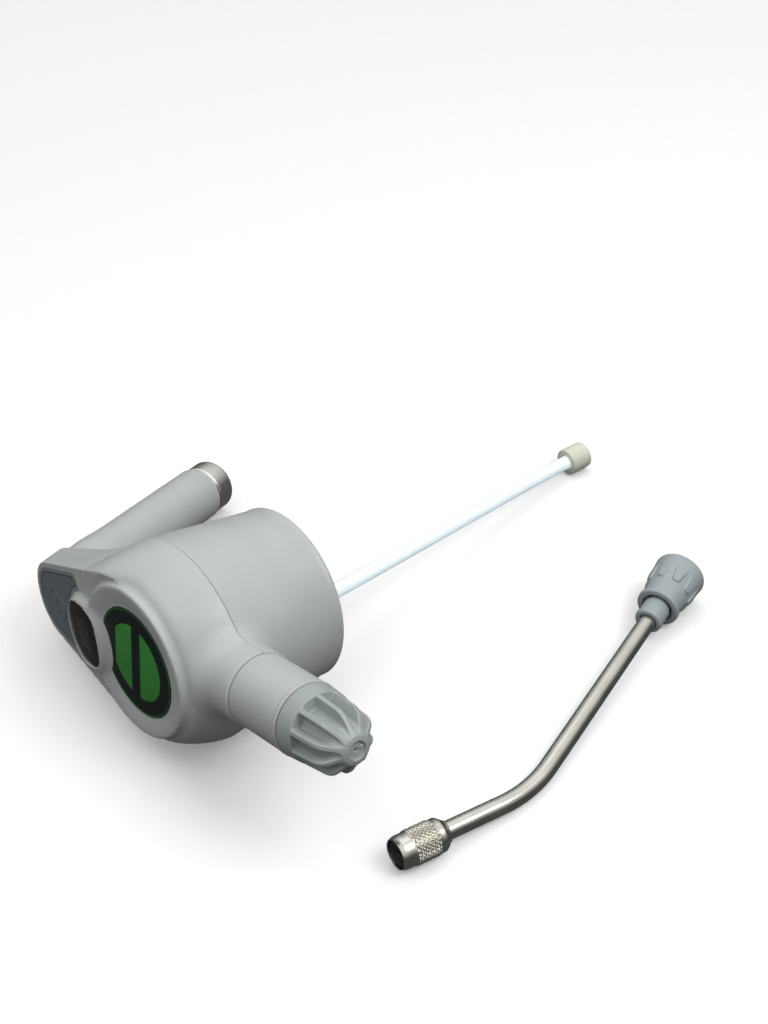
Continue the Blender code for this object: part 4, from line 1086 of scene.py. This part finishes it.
def make_floor():
    half, level = FLOOR_HALF, FLOOR_LEVEL
    corners = [(-half, -half, level), (half, -half, level), (half, half, level), (-half, half, level)]
    paint = surface("pale_floor", (0.90, 0.90, 0.90), 0.7, grain=300.0, bump=0.02, vary=0.01,
                    specular=0.2)
    floor = pale_object("floor", corners, [(0, 1, 2, 3)], paint, FLOOR_GLOW)


def make_backdrop():
    """A round wall far behind, so that low views end in a pale tone. It casts no shadow."""
    count = 96
    points, faces = [], []
    for z in (-0.01, BACKDROP_HEIGHT):
        for i in range(count):
            angle = 2 * math.pi * i / count
            points.append((BACKDROP_RADIUS * math.cos(angle), BACKDROP_RADIUS * math.sin(angle), z))
    for i in range(count):
        j = (i + 1) % count
        faces.append((i, j, count + j, count + i))
    paint = surface("backdrop_white", (0.9, 0.9, 0.9), 0.8, grain=20.0, bump=0.0, vary=0.01,
                    specular=0.0)
    backdrop = pale_object("backdrop", points, faces, paint, BACKDROP_GLOW)
    backdrop.visible_transmission = False
    backdrop.visible_shadow = False


def make_lights():
    area_light("key", (0.75, 0.15, 0.95), (0.0, -0.05, 0.03), 5.0, 0.6)
    area_light("top", (-0.3, 0.25, 1.2), (-0.05, -0.05, 0.03), 1.0, 0.9)
    area_light("near", (0.02, -0.30, 0.40), (0.0, -0.165, 0.07), 0.12, 0.16)


def make_studio():
    """A dome that is bright overhead and dim towards and below the horizon."""
    world = bpy.data.worlds.new("studio")
    bpy.context.scene.world = world
    world.use_nodes = True
    nodes, links = world.node_tree.nodes, world.node_tree.links
    way = nodes.new("ShaderNodeTexCoord").outputs["Generated"]
    split = nodes.new("ShaderNodeSeparateXYZ")
    links.new(way, split.inputs["Vector"])
    rise = nodes.new("ShaderNodeMapRange")
    rise.interpolation_type = "SMOOTHSTEP"
    rise.inputs["From Min"].default_value = -0.05
    rise.inputs["From Max"].default_value = 0.9
    rise.inputs["To Min"].default_value = DOME_LOW
    rise.inputs["To Max"].default_value = DOME_HIGH
    links.new(split.outputs["Z"], rise.inputs["Value"])
    nodes["Background"].inputs["Color"].default_value = (1.0, 1.0, 1.0, 1.0)
    links.new(rise.outputs["Result"], nodes["Background"].inputs["Strength"])


def make_camera():
    camera = bpy.data.cameras.new("camera")
    camera.sensor_width = 36.0
    camera.lens = FOCAL_LENGTH
    camera.dof.use_dof = False
    eye = bpy.data.objects.new("camera", camera)
    bpy.context.scene.collection.objects.link(eye)
    look = (Vector(AIM) - Vector(EYE)).to_track_quat("-Z", "Y").to_matrix().to_4x4()
    eye.matrix_world = Matrix.Translation(EYE) @ look @ Matrix.Rotation(CAMERA_ROLL, 4, "Z")
    bpy.context.scene.camera = eye
    bpy.context.scene.view_settings.view_transform = "Standard"
    bpy.context.scene.view_settings.look = "None"


def main():
    paint_cad_nodes()
    make_shells()
    make_film()
    make_button()
    make_window()
    make_label()
    make_nozzle()
    make_cap()
    make_battery_cap()
    make_suction_side()
    make_lance()
    make_floor()
    make_backdrop()
    make_studio()
    make_lights()
    make_camera()


main()
